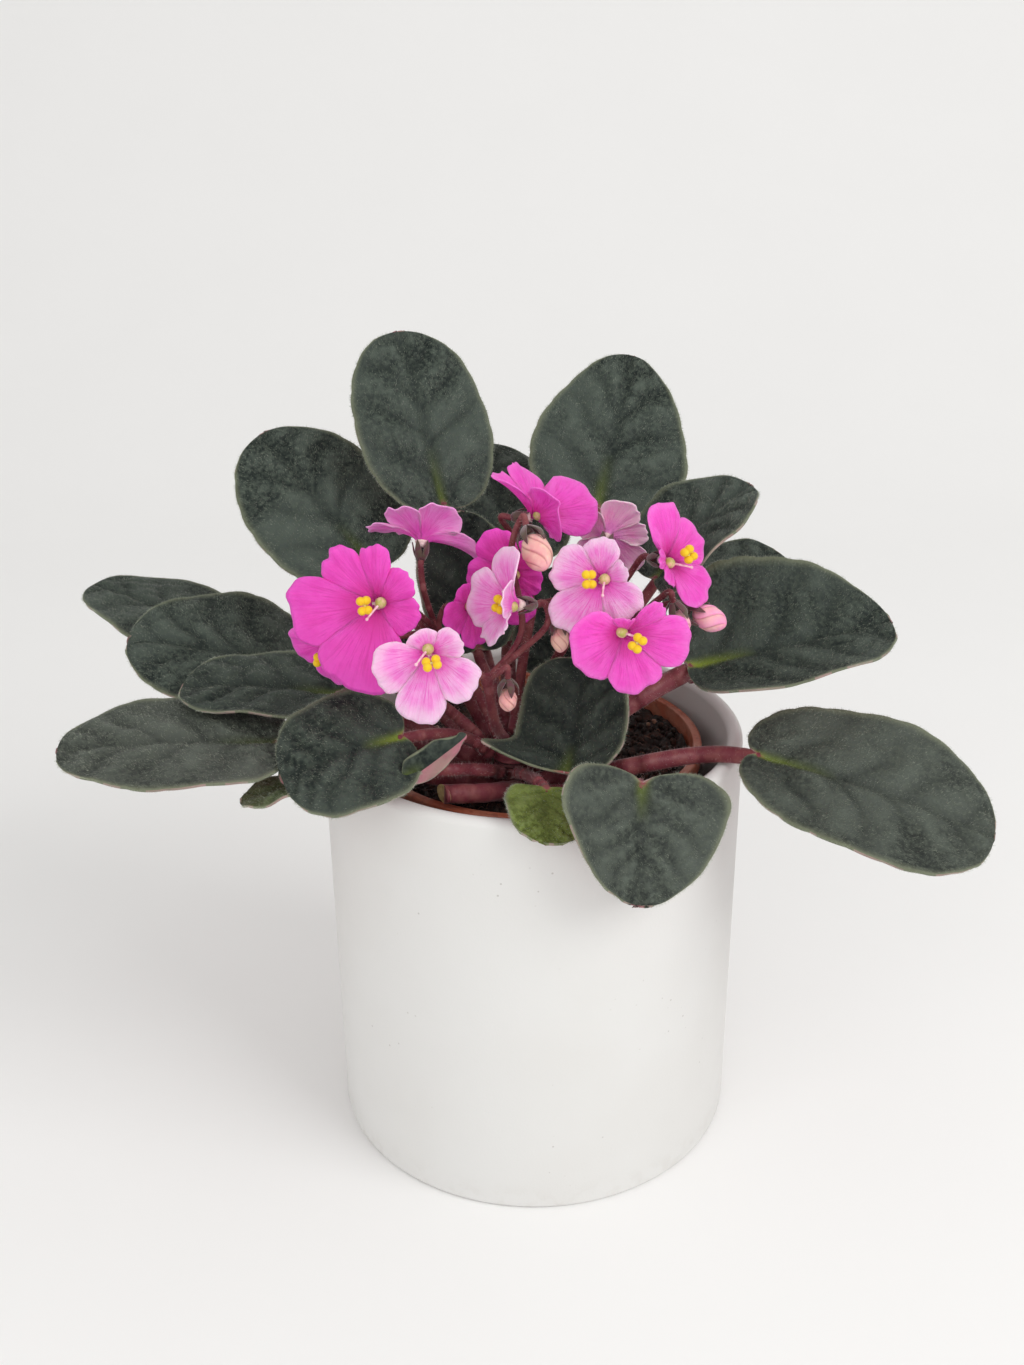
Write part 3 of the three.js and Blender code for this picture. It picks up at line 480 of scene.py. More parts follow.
class Finish:
    """A procedural material, built one node at a time round its shader."""

    def __init__(self, name, **sockets):
        self.material = bpy.data.materials.new(name)
        self.material.use_nodes = True
        self.nodes = self.material.node_tree.nodes
        self.links = self.material.node_tree.links
        self.shader = self.nodes["Principled BSDF"]
        for socket, value in sockets.items():
            self.shader.inputs[socket.replace("_", " ")].default_value = value
        self.object_place = self.nodes.new("ShaderNodeTexCoord").outputs["Object"]

    def set(self, node, socket, value):
        if isinstance(value, bpy.types.NodeSocket):
            self.links.new(value, node.inputs[socket])
        else:
            node.inputs[socket].default_value = value

    def attribute(self, name):
        node = self.nodes.new("ShaderNodeAttribute")
        node.attribute_name = name
        return node.outputs["Fac"]

    def noise(self, scale, detail, roughness=0.55, place=None):
        node = self.nodes.new("ShaderNodeTexNoise")
        self.links.new(place or self.object_place, node.inputs["Vector"])
        for socket, value in (("Scale", scale), ("Detail", detail), ("Roughness", roughness)):
            node.inputs[socket].default_value = value
        return node.outputs["Fac"]

    def cells(self, scale):
        node = self.nodes.new("ShaderNodeTexVoronoi")
        self.links.new(self.object_place, node.inputs["Vector"])
        node.inputs["Scale"].default_value = scale
        return node.outputs["Distance"]

    def stretched(self, scale):
        """The sheet's own coordinates, drawn out along the sheet."""
        node = self.nodes.new("ShaderNodeMapping")
        coordinates = self.nodes.new("ShaderNodeUVMap")
        coordinates.uv_map = "sheet"
        self.links.new(coordinates.outputs["UV"], node.inputs["Vector"])
        node.inputs["Scale"].default_value = scale
        return node.outputs["Vector"]

    def math(self, operation, a, b=0.5, clamp=False):
        node = self.nodes.new("ShaderNodeMath")
        node.operation = operation
        node.use_clamp = clamp
        self.set(node, 0, a)
        self.set(node, 1, b)
        return node.outputs["Value"]

    def between(self, value, low, high, to_low=0.0, to_high=1.0):
        node = self.nodes.new("ShaderNodeMapRange")
        node.interpolation_type = "SMOOTHSTEP"
        for socket, setting in (("Value", value), ("From Min", low), ("From Max", high),
                                ("To Min", to_low), ("To Max", to_high)):
            self.set(node, socket, setting)
        return node.outputs["Result"]

    def patches(self, scale, detail, low, high, to_low=0.0, to_high=1.0):
        """Patches of noise: to_low where the noise is below low and to_high where it is above high."""
        return self.between(self.noise(scale, detail), low, high, to_low, to_high)

    def amount(self, name, strength):
        """An attribute as a mixing factor."""
        return self.math("MULTIPLY", self.attribute(name), strength, True)

    def mix(self, factor, a, b):
        node = self.nodes.new("ShaderNodeMix")
        node.data_type = "RGBA"
        self.set(node, "Factor", factor)
        for index, value in ((MIX_A, a), (MIX_B, b)):
            self.set(node, index, value if isinstance(value, bpy.types.NodeSocket) else (*value, 1))
        return node.outputs[MIX_RESULT]

    def colour(self, value):
        self.links.new(value, self.shader.inputs["Base Color"])

    def rough(self, scale, detail, low, high):
        """Roughness that varies between low and high."""
        self.links.new(self.patches(scale, detail, 0.3, 0.7, low, high), self.shader.inputs["Roughness"])

    def bump(self, height, distance, strength=1.0):
        node = self.nodes.new("ShaderNodeBump")
        node.inputs["Strength"].default_value = strength
        node.inputs["Distance"].default_value = distance
        self.links.new(height, node.inputs["Height"])
        current = self.shader.inputs["Normal"]
        if current.is_linked:
            self.links.new(current.links[0].from_socket, node.inputs["Normal"])
        self.links.new(node.outputs["Normal"], current)


def towards(colour, other, share):
    return tuple(a + (b - a) * share for a, b in zip(colour, other))


def leaf_top(settings, tint, painted_shade):
    # One copy of this material for each tint and each depth of painted shade.
    name = f"leaf_upper_side_{round(tint * 100) + 100}_{round(painted_shade * 100)}"
    finish = Finish(name, Sheen_Weight=0.03, Sheen_Roughness=0.5, Specular_IOR_Level=0.13)
    finish.shader.inputs["Sheen Tint"].default_value = (0.85, 0.92, 0.82, 1)
    other, share = (settings.young_green, tint) if tint > 0 else (settings.grey_green, -tint)
    # Painted shade: leaves deep in the plant are darkened towards the vein green.
    green = towards(towards(settings.green, other, share * 0.9), settings.dark_green, painted_shade)
    dark = towards(settings.dark_green, other, share * 0.3)
    broad = finish.patches(38, 3, 0.36, 0.66)
    base = finish.mix(broad, towards(green, dark, 0.8), towards(green, (0.16, 0.19, 0.16), 0.14))
    fine = finish.patches(700, 4, 0.35, 0.72)
    base = finish.mix(fine, base, towards(green, (0.22, 0.26, 0.18), 0.13))
    # Painted highlight: the crests of the quilting are lightened.
    base = finish.mix(finish.amount("crest_highlight", 0.6), base, towards(green, (0.20, 0.24, 0.19), 0.25))
    # Painted shade: the valleys between the swellings and along the midrib are darkened.
    base = finish.mix(finish.amount("valley_shade_and_vein", 0.8), base, dark)
    base = finish.mix(finish.amount("rim", 0.6), base, (0.26, 0.28, 0.18))
    base = finish.mix(finish.attribute("streak_green"), base, settings.young_green)
    base = finish.mix(finish.attribute("streak_red"), base, towards(settings.red, (0.5, 0.15, 0.18), 0.3))
    finish.colour(base)
    finish.rough(400, 2, 0.44, 0.66)
    finish.bump(finish.cells(1100), 0.18 * MM)
    finish.bump(finish.noise(2600, 2), 0.05 * MM)
    return finish.material


def leaf_under(settings):
    finish = Finish("leaf_underside", Sheen_Weight=0.15, Specular_IOR_Level=0.25)
    blotches = finish.patches(70, 4, 0.4, 0.65)
    base = finish.mix(blotches, settings.underside, towards(settings.underside, (0.16, 0.2, 0.12), 0.45))
    # On the lower side the same valley mask gives the veins their own red.
    base = finish.mix(finish.between(finish.attribute("valley_shade_and_vein"), 0.1, 0.9, 0, 0.6), base,
                      towards(settings.underside, settings.red, 0.4))
    base = finish.mix(finish.amount("rim", 0.5), base, (0.30, 0.33, 0.24))
    finish.colour(base)
    finish.rough(500, 2, 0.5, 0.7)
    finish.bump(finish.cells(900), 0.15 * MM)
    return finish.material


def stem_red(settings):
    finish = Finish("hairy_red_stem", Sheen_Weight=0.08, Sheen_Roughness=0.4, Specular_IOR_Level=0.3)
    finish.shader.inputs["Sheen Tint"].default_value = (1, 0.8, 0.82, 1)
    patches = finish.patches(260, 4, 0.4, 0.65)
    base = finish.mix(patches, settings.red, towards(settings.red, (0.32, 0.12, 0.10), 0.35))
    base = finish.mix(finish.patches(1500, 2, 0.58, 0.8, 0, 0.4), base, (0.32, 0.12, 0.12))
    finish.colour(base)
    finish.rough(300, 2, 0.42, 0.62)
    finish.bump(finish.noise(900, 3), 0.12 * MM)
    return finish.material


def sepal_skin():
    finish = Finish("dark_sepal", Sheen_Weight=0.5, Specular_IOR_Level=0.3)
    patches = finish.patches(500, 3, 0.4, 0.6)
    finish.colour(finish.mix(patches, (0.10, 0.022, 0.035), (0.085, 0.055, 0.035)))
    finish.rough(700, 2, 0.5, 0.7)
    finish.bump(finish.noise(1500, 2), 0.1 * MM)
    return finish.material


def hair_skin(name, dark, light):
    finish = Finish(name, Specular_IOR_Level=0.3)
    finish.colour(finish.mix(finish.patches(160, 2, 0.35, 0.65), dark, light))
    finish.rough(300, 2, 0.45, 0.65)
    finish.bump(finish.noise(3000, 2), 0.02 * MM)
    return finish.material


def petal_skin(settings, tone):
    magenta, deep, light, pale = settings.magenta, settings.deep, settings.light, settings.pale
    middle, edge, throat, edge_start = {
        "magenta": (towards(magenta, deep, 0.1), towards(magenta, light, 0.45), deep, 0.8),
        "rich": (towards(magenta, deep, 0.3), towards(magenta, light, 0.12), deep, 0.8),
        # Deep tone: darker petals; on centre_back this is painted shade for its place behind the other
        # blooms.
        "deep": (towards(magenta, deep, 0.7), magenta, deep, 0.7),
        "edged": (light, towards(light, pale, 0.85), magenta, 0.62),
        "pink": (towards(magenta, light, 0.85), towards(light, pale, 0.3), magenta, 0.6),
        "pale": (towards(light, settings.bud, 0.35), towards(pale, settings.bud, 0.25), light, 0.5),
    }[tone]
    finish = Finish(f"petal_{tone}", Sheen_Weight=0.08, Sheen_Roughness=0.3, Specular_IOR_Level=0.3,
                    Subsurface_Weight=0.45, Subsurface_Scale=0.003)
    finish.shader.inputs["Subsurface Radius"].default_value = (1, 0.35, 0.7)
    along = finish.attribute("along")
    outward = finish.between(along, edge_start, 1.03)
    side = finish.between(finish.math("ABSOLUTE", finish.attribute("across")), 0.78, 1.0, 0, 0.7)
    rim = finish.math("MULTIPLY", finish.math("MAXIMUM", outward, side), finish.between(along, 0.3, 0.7))
    mottled = finish.mix(finish.patches(230, 4, 0.35, 0.7), middle, towards(middle, edge, 0.5))
    base = finish.mix(rim, mottled, edge)
    streaks = finish.noise(1, 3, 0.6, place=finish.stretched((30, 2.2, 1)))
    fading = finish.between(along, 1.0, 0.3, 0.15, 0.8)
    veins = finish.math("MULTIPLY", finish.between(streaks, 0.48, 0.64), fading)
    base = finish.mix(veins, base, towards(throat, deep, 0.4))
    base = finish.mix(finish.between(along, 0.55, 0.12, 0, 0.85), base, throat)
    finish.colour(base)
    finish.rough(900, 2, 0.45, 0.62)
    finish.bump(streaks, 0.35 * MM)
    finish.bump(finish.cells(2400), 0.08 * MM)
    return finish.material


def bud_skin(settings):
    finish = Finish("furled_bud", Specular_IOR_Level=0.3, Sheen_Weight=0.1, Subsurface_Weight=0.1,
                    Subsurface_Scale=0.001)
    cream = towards(settings.bud, (0.86, 0.70, 0.50), 0.5)
    blush = towards(settings.bud, (0.62, 0.14, 0.24), 0.3)
    base = finish.mix(finish.patches(210, 4, 0.38, 0.66), cream, blush)
    base = finish.mix(finish.amount("seam", 0.8), base, (0.42, 0.12, 0.12))
    base = finish.mix(finish.attribute("tip"), base, towards(settings.bud, settings.light, 0.5))
    base = finish.mix(finish.attribute("blush"), base, settings.light)
    finish.colour(base)
    finish.rough(600, 2, 0.45, 0.62)
    finish.bump(finish.noise(900, 3), 0.12 * MM)
    return finish.material


def soft_skin(name, dark, light, scale, grain, roughness=0.55):
    """A plain living surface: two mottled tones and a fine grain."""
    finish = Finish(name, Specular_IOR_Level=0.35, Sheen_Weight=0.2)
    finish.colour(finish.mix(finish.patches(scale, 4, 0.35, 0.68), dark, light))
    finish.rough(scale * 3, 2, roughness - 0.1, roughness + 0.1)
    finish.bump(finish.noise(scale * 5, 3), grain)
    return finish.material


SCUFFED_HEIGHT = 12 * MM  # the ceramic is scuffed below this


def ceramic_skin(settings):
    finish = Finish("matt_white_ceramic", Specular_IOR_Level=0.3)
    white = settings.ceramic
    base = finish.mix(finish.patches(14, 3, 0.35, 0.7), white, towards(white, (0.66, 0.645, 0.62), 0.4))
    specks = finish.math("MULTIPLY", finish.between(finish.cells(240), 0.10, 0.05),
                         finish.patches(35, 2, 0.56, 0.66))
    base = finish.mix(finish.math("MULTIPLY", specks, 0.5), base, (0.33, 0.30, 0.27))
    place = finish.nodes.new("ShaderNodeSeparateXYZ")
    finish.links.new(finish.object_place, place.inputs["Vector"])
    scuff = finish.math("MULTIPLY", finish.between(place.outputs["Z"], SCUFFED_HEIGHT, 0.0),
                        finish.patches(180, 4, 0.45, 0.65, 0, 0.25))
    base = finish.mix(scuff, base, (0.55, 0.52, 0.48))
    finish.colour(base)
    finish.rough(60, 3, 0.48, 0.62)
    finish.bump(finish.noise(28, 2), 0.25 * MM, 0.5)
    finish.bump(finish.noise(1300, 3), 0.04 * MM)
    return finish.material


def plastic_skin(settings):
    finish = Finish("dusty_terracotta_plastic", Specular_IOR_Level=0.4)
    red = settings.terracotta
    base = finish.mix(finish.patches(90, 4, 0.4, 0.65), red, towards(red, (0.5, 0.28, 0.2), 0.35))
    soiled = finish.math("MULTIPLY", finish.patches(420, 4, 0.52, 0.64), 0.35)
    finish.colour(finish.mix(soiled, base, towards(red, settings.peat, 0.7)))
    finish.rough(200, 3, 0.4, 0.6)
    finish.bump(finish.noise(500, 2), 0.05 * MM)
    return finish.material


def peat_skin(settings):
    finish = Finish("moist_peat", Specular_IOR_Level=0.3)
    peat = settings.peat
    base = finish.mix(finish.patches(350, 5, 0.45, 0.7), peat, towards(peat, (0.075, 0.03, 0.02), 0.7))
    finish.colour(finish.mix(finish.between(finish.cells(500), 0.10, 0.05), base, (0.14, 0.07, 0.04)))
    finish.rough(700, 3, 0.6, 0.95)
    finish.bump(finish.noise(700, 5), 0.6 * MM)
    return finish.material


# ---------- leaves ----------
SIDE_VEINS = 4
VEIN_SLOPE = 0.992  # how far along the blade a side vein runs for each step across it
MIDRIB_WIDTH = 2.2  # to each side
FULL_QUILTING = 50  # shorter blades are quilted less deeply
RIM_START = 0.93  # the pale rim's inner edge, as a share of the way from the middle to the edge
TIP_MARGIN = 0.25  # nearer to a blade's ends than this its normal is taken from here
BLADE_COLUMNS, BLADE_ROWS = 40, 60
FLAP_COLUMNS, FLAP_ROWS = 16, 24
FLAP_GREEN = -0.1  # where across a curled flap its pink lower strip ends
PETIOLE_STEPS, MIDRIB_STEPS = 22, 14  # along the petiole, and on under the blade
MIDRIB_END = 0.86  # where the rib under the blade ends, as a share of its length
CUPPED_DEPTH = 1.9  # how far below a cupped blade its petiole's end lies


def blade_point(shape, t, s):
    """The blade's smooth sheet, as in the part's source. t runs 0 to pi along it and s -1 to 1 across."""
    length, half = shape["length"], shape["width"] / 2
    x = s * half * sin(t) ** shape.get("blunt", 0.7) * (1 + shape.get("taper", 0) * cos(t))
    beak_lift = 0
    if "beak" in shape and s < 0:
        beak = shape["beak"]
        beak_share = s * s * exp(-((t - beak["at"]) / beak["spread"]) ** 2)
        x -= beak["reach"] * beak_share
        beak_lift = beak["lift"] * beak_share
    lobe_share = sqrt(sin(t)) * ((1 + cos(t)) / 2) ** 1.5
    along = length * (1 - cos(t)) / 2 - shape.get("lobe", 0) * lobe_share * s * s
    arch = radians(shape.get("arch", 0) or 0.001)
    bend = arch / length
    level, drop = sin(bend * along) / bend, (cos(bend * along) - 1) / bend
    y = level * cos(arch / 2) - drop * sin(arch / 2)
    z = level * sin(arch / 2) + drop * cos(arch / 2) + shape.get("cup", 0) * x * x / half + beak_lift
    z += BLADE_WAVE * s**4 * sin(t) * sin(6 * t + length + s)
    return Vector((x, y, z))


def blade_normal(shape, t, s):
    step = 0.05
    t = min(max(t, TIP_MARGIN), pi - TIP_MARGIN)
    along = blade_point(shape, t + step, s) - blade_point(shape, t - step, s)
    across = blade_point(shape, t, s + step) - blade_point(shape, t, s - step)
    return across.cross(along).normalized()


def vein_phase(shape, t, s):
    """Whole numbers along a side vein, halves along the swelling between two."""
    half = shape["width"] / 2
    across = abs(s) * sin(t) ** shape.get("blunt", 0.7) * half / shape["length"]
    wander = 0.45 * noise.noise(Vector((s * 1.6, t * 1.3, shape["length"])))
    share = (1 - cos(t)) / 2 - VEIN_SLOPE * across + 0.5 * across * across
    return SIDE_VEINS * share + 0.5 + wander + (0.32 if s > 0 else 0)


def off_midrib(shape, t, s):
    return abs(s) * sin(t) ** 0.7 * shape["width"] / 2


def quilting_depth(shape, settings):
    return settings.quilting / MM * min(1, shape["length"] / FULL_QUILTING)


def relief(shape, t, s, quilting):
    """The quilted face's height above the smooth sheet, how far it is in a valley, which the upper side
    paints with shade, and how far it is on a crest, which it paints with a highlight.
    """
    swell = abs(sin(pi * vein_phase(shape, t, s)))
    edge = (1 - abs(s) ** 5) * min(1, sin(t) * 2.2)
    near = exp(-(off_midrib(shape, t, s) / MIDRIB_WIDTH) ** 2)
    midrib = near * (0.35 + 0.65 * (1 + cos(t)) / 2)
    crinkle = noise.fractal(Vector((s * 6, t * 7, shape["width"])), 0.9, 2.1, 3) * 0.4
    depth = 0.75 + 0.6 * noise.noise(Vector((s * 2.5, t * 2.5, shape["length"])))
    quilt = (depth * (swell ** 0.8 - 0.55) + crinkle) * (1 - near)
    height = quilting * edge * (quilt - 0.5 * near - 0.45 * midrib)
    valley_shade_and_vein = edge * (depth * max(1 - swell / 0.5, 0) ** 1.3 * 0.85 + midrib * 0.6)
    return height, valley_shade_and_vein, edge * max(0, swell + crinkle - 0.75) * 3 * (1 - near)


def scalloped(shape, t, s):
    """The rim's small rounded teeth, as a share of the blade's half width."""
    tooth = abs(sin(t * shape["length"] * 0.16 + s))
    return 1 - 0.022 * (1 - tooth ** 0.6) * abs(s) ** 10


def build_blade(shape, settings, columns=BLADE_COLUMNS, rows=BLADE_ROWS):
    quilting = quilting_depth(shape, settings)
    place = blade_frame(**shape)

    def point(s, r):
        t = min(max(pi * r, 1e-6), pi - 1e-6)
        surface = blade_point(shape, t, s * scalloped(shape, t, s))
        return place @ (surface + blade_normal(shape, t, s) * relief(shape, t, s, quilting)[0])

    bm = sheet(columns, rows, point, settings.thickness / MM)
    across, along = bm.verts.layers.float["across"], bm.verts.layers.float["along"]
    # On the upper side the valley and crest masks carry painted shade and a painted highlight.
    layers = {name: bm.verts.layers.float.new(name)
              for name in ("valley_shade_and_vein", "crest_highlight", "rim", "streak_green", "streak_red")}
    streak = shape.get("streak", 0.35)
    for vert in bm.verts:
        t, s = pi * vert[along], vert[across]
        _, vert[layers["valley_shade_and_vein"]], vert[layers["crest_highlight"]] = relief(shape, t, s, quilting)
        outward = max(abs(s), abs(2 * vert[along] - 1))
        vert[layers["rim"]] = max(0, (outward - RIM_START) / (1 - RIM_START))
        for colour, width, reach, strength in (("red", 0.9, 0.13, 1), ("green", 1.5, 0.4, streak)):
            line = exp(-(off_midrib(shape, t, s) / width) ** 2)
            fade = max(0, 1 - vert[along] / reach)
            vert[layers[f"streak_{colour}"]] = strength * min(1, line * fade * 1.6)
    return bm


def petiole_path(shape):
    """From the crown outwards to the blade, as in the part's source, then on under its midrib."""
    radius = shape.get("stem", THIN_PETIOLE if shape["length"] < SMALL_LEAF else THICK_PETIOLE)
    place = blade_frame(**shape)
    azimuth, tier = shape["root"]
    root_z, rise = CROWN_TIERS[tier]
    root = Vector((CROWN_X, CROWN_Y, root_z))
    root += direction(azimuth, 0) * (CROWN_RADIUS + 0.3 + radius * sin(radians(rise)))
    attach = shape.get("attach", 0) * pi + 0.05
    depth = CUPPED_DEPTH if "attach" in shape else radius - 0.2

    def under(t, below):
        return place @ (blade_point(shape, t, 0) - blade_normal(shape, t, 0) * below)

    join, onward = under(attach, depth), under(attach + 0.5, depth)
    reach = (join - root).length
    inward = (onward - join).normalized()
    if "attach" in shape:
        inward = place.to_3x3() @ blade_normal(shape, attach, 0)
    if "arrive" in shape:
        inward.z = sin(radians(shape["arrive"]))
    leaving, arriving = direction(azimuth, rise) * reach * 0.4, inward * reach * 0.3
    path = list(bezier(root, root + leaving, join - arriving, join, PETIOLE_STEPS))
    radii = [radius * (1.06 - 0.16 * i / PETIOLE_STEPS) for i in range(PETIOLE_STEPS + 1)]
    if "attach" not in shape:
        for i in range(1, MIDRIB_STEPS + 1):
            share = i / MIDRIB_STEPS
            thin = radius * 0.9 * (1 - share) ** 1.3 + 0.25
            path.append(under(attach + (pi * MIDRIB_END - attach) * share, thin + 1.85 - 0.5 * share))
            radii.append(thin)
    return path, radii


class VIOLET_OT_leaves(bpy.types.Operator):
    """Builds each leaf: a quilted blade, its petiole and the midrib under it"""
    bl_idname = "violet.leaves"
    bl_label = "Leaves"

    def execute(self, context):
        settings = context.scene.violet_leaf
        red, under = stem_red(settings), leaf_under(settings)
        tops = {}
        for name, shape in LEAVES.items():
            # Leaves share an upper-side material when their tint and their painted shade are the same.
            tone = shape.get("tint", 0), shape.get("painted_shade", 0)
            if tone not in tops:
                tops[tone] = leaf_top(settings, *tone)
            bm = build_blade(shape, settings)
            sweep(bm, *petiole_path(shape), sides=12, material=2)
            if "flap" in shape:
                flap = build_blade(shape["flap"], settings, FLAP_COLUMNS, FLAP_ROWS)
                across = flap.verts.layers.float["across"]
                for face in flap.faces:
                    if sum(vert[across] for vert in face.verts) > FLAP_GREEN * len(face.verts):
                        face.material_index = 0
                pour(flap, bm)
            finished(name + "_dressed", bm, (tops[tone], under, red), (name,))
        return {"FINISHED"}


CROWN_STEPS = 30
CROWN_SHOULDER = 0.85  # the crown is rounded off above this share of its height


class VIOLET_OT_crown(bpy.types.Operator):
    """Builds the crown, with its ringed scars, and the stub of a cut petiole"""
    bl_idname = "violet.crown"
    bl_label = "Crown and cut petiole"

    def execute(self, context):
        settings = context.scene.violet_leaf
        red = stem_red(settings)
        low, high = CROWN_LOW.z / MM, CROWN_HIGH.z / MM
        bm = bmesh.new()
        path, radii = [], []
        for i in range(CROWN_STEPS + 1):
            share = i / CROWN_STEPS
            path.append(Vector((CROWN_X, CROWN_Y, low + (high - low) * share)))
            past = max(0, share - CROWN_SHOULDER) / (1 - CROWN_SHOULDER)
            round_end = min(1, sqrt(max(0.03, 1 - past ** 2)), 0.8 + share * 3)
            radii.append((CROWN_RADIUS - 0.35) * round_end * (1 + 0.03 * sin(share * 40)))
        sweep(bm, path, radii, sides=28)
        finished("crown_dressed", bm, (red,), ("crown",))

        bm = bmesh.new()
        path = smooth_path(STUB["points"], 8)
        radii = [STUB["radius"] * (1 + 0.03 * sin(i * 1.7)) for i in range(len(path))]
        sweep(bm, path, radii, sides=STUB_SIDES)
        caps = [face for face in bm.faces if len(face.verts) == STUB_SIDES]
        cut = min(caps, key=lambda face: face.calc_center_median().x)
        front, back = min(vert.co.y for vert in cut.verts), max(vert.co.y for vert in cut.verts)
        for vert in cut.verts:
            vert.co.x += (back - vert.co.y) / (back - front) * CUT_SLANT
        rim = bmesh.ops.inset_region(bm, faces=[cut], thickness=0.35, depth=-0.15)["faces"]
        paint((cut, *rim), 1, smooth=False)
        pith = soft_skin("cut_stem_pith", (0.30, 0.20, 0.07), (0.48, 0.36, 0.15), 500, 0.2 * MM)
        finished("cut_petiole_dressed", bm, (red, pith), ("cut_petiole",))
        return {"FINISHED"}


# ---------- blooms ----------
PETAL_COLUMNS, PETAL_ROWS = 26, 22
OVERLAP = 1.1  # petals are this much wider than their share of the round
DEEPER_NOTCH = 0.82  # two petals part further in than in the solids
PETAL_START = 0.05  # where a petal starts, as a share of its reach
THROAT_EDGE = 0.2  # where it starts to dip into the throat
OVARY_RADIUS = 1.6


def petal_spans(petals):
    """Each petal with the angles to its two edges and its neighbours."""
    ordered = sorted(petals)
    for i, petal in enumerate(ordered):
        last, after = ordered[i - 1], ordered[(i + 1) % len(ordered)]
        before_span = ((petal[0] - last[0]) % 360) * petal[2] / (petal[2] + last[2])
        after_span = ((after[0] - petal[0]) % 360) * petal[2] / (petal[2] + after[2])
        yield petal, last, after, before_span, after_span


def build_petal(bloom, spans, seed, thickness):
    (angle, length, _, opening), last, after, before_span, after_span = spans
    size = bloom["size"]
    rng = random.Random(seed)
    phase, ruffle, crease = rng.uniform(0, 6), rng.uniform(0.5, 1.0), rng.uniform(0.3, 0.7)
    dent = rng.uniform(-0.4, 0.4)

    def point(s, r):
        share = PETAL_START + (1 - PETAL_START) * r
        span, neighbour = (before_span, last) if s < 0 else (after_span, after)
        notch = NOTCH * DEEPER_NOTCH * min(length, neighbour[1])
        reach = (notch + (length - notch) * sqrt(max(0, 1 - abs(s) ** 2.4))) * size
        wavy = 0.018 * sin(6 * s + phase) + 0.012 * sin(15 * s + phase * 2)
        reach *= 1 + wavy - 0.035 * exp(-((s - dent) / 0.13) ** 2)
        blend = s * s * 0.5
        tilt = radians(opening * (1 - blend) + neighbour[3] * blend)
        along = reach * share
        z = sin(tilt) * along - PETAL_CURL * reach * share**3
        z += 0.3 * s * share + ruffle * share**3 * sin(3.4 * pi * s + phase) * 0.45
        z -= crease * exp(-(s / 0.16) ** 2) * share * (1 - 0.6 * share)
        folds = sin(13 * s + 3 * noise.noise(Vector((s * 2, share * 3, seed))))
        z += 0.2 * folds * share * (1 - share)
        z -= (THROAT_DEPTH - 0.4) * max(0, 1 - share / THROAT_EDGE) ** 2
        return in_plane(angle + s * span * OVERLAP, cos(tilt) * along, z)

    return sheet(PETAL_COLUMNS, PETAL_ROWS, point, thickness)


class VIOLET_OT_blooms(bpy.types.Operator):
    """Builds each bloom: overlapping veined petals, the ovary and the style"""
    bl_idname = "violet.blooms"
    bl_label = "Blooms"

    def execute(self, context):
        settings = context.scene.violet_bloom
        tones = sorted({bloom["tone"] for bloom in BLOOMS.values()})
        skins = {tone: petal_skin(settings, tone) for tone in tones}
        ovary_skin = soft_skin("green_ovary", (0.42, 0.42, 0.09), (0.72, 0.48, 0.30), 700, 0.1 * MM, 0.45)
        style_skin = soft_skin("pale_style", (0.80, 0.36, 0.50), (0.92, 0.62, 0.68), 600, 0.03 * MM, 0.4)
        tube_skin = soft_skin("corolla_tube", (0.75, 0.55, 0.55), (0.85, 0.66, 0.60), 400, 0.05 * MM)
        for number, (name, bloom) in enumerate(BLOOMS.items()):
            bm = bmesh.new()
            for i, spans in enumerate(petal_spans(bloom["petals"])):
                petal = build_petal(bloom, spans, number * 10 + i, settings.thickness / MM)
                paint(petal.faces)
                pour(petal, bm)
            centre = in_plane(bloom["anther"] + 180, 1.1, 1.9)
            ball(bm, centre, OVARY_RADIUS, scale=(1, 1, 1.1), material=1, detail=3)
            tip = in_plane(bloom["style"], 4.6, 6)
            bowed = (centre + tip) / 2 + Vector((0, 0, 0.9))
            path = smooth_path((centre, bowed, tip), 6)
            sweep(bm, path, [0.36 - 0.12 * i / len(path) for i in range(len(path))], sides=8, material=2)
            ball(bm, tip, 0.42, scale=(1.15, 1.15, 0.7), material=2)
            throat = [Vector((0, 0, -THROAT_DEPTH + 0.25 * i)) for i in range(9)]
            sweep(bm, throat, [1.2 + 0.09 * i for i in range(9)], sides=16, material=3)
            bmesh.ops.transform(bm, matrix=bloom_frame(**bloom), verts=bm.verts)
            materials = skins[bloom["tone"]], ovary_skin, style_skin, tube_skin
            finished(f"bloom_{name}_dressed", bm, materials, (f"bloom_{name}",))
        return {"FINISHED"}


ANTHER_OUT, ANTHER_HEIGHT, ANTHER_RADIUS = 2.9, 5.3, 1.28  # off and along the axis, and of each bulb


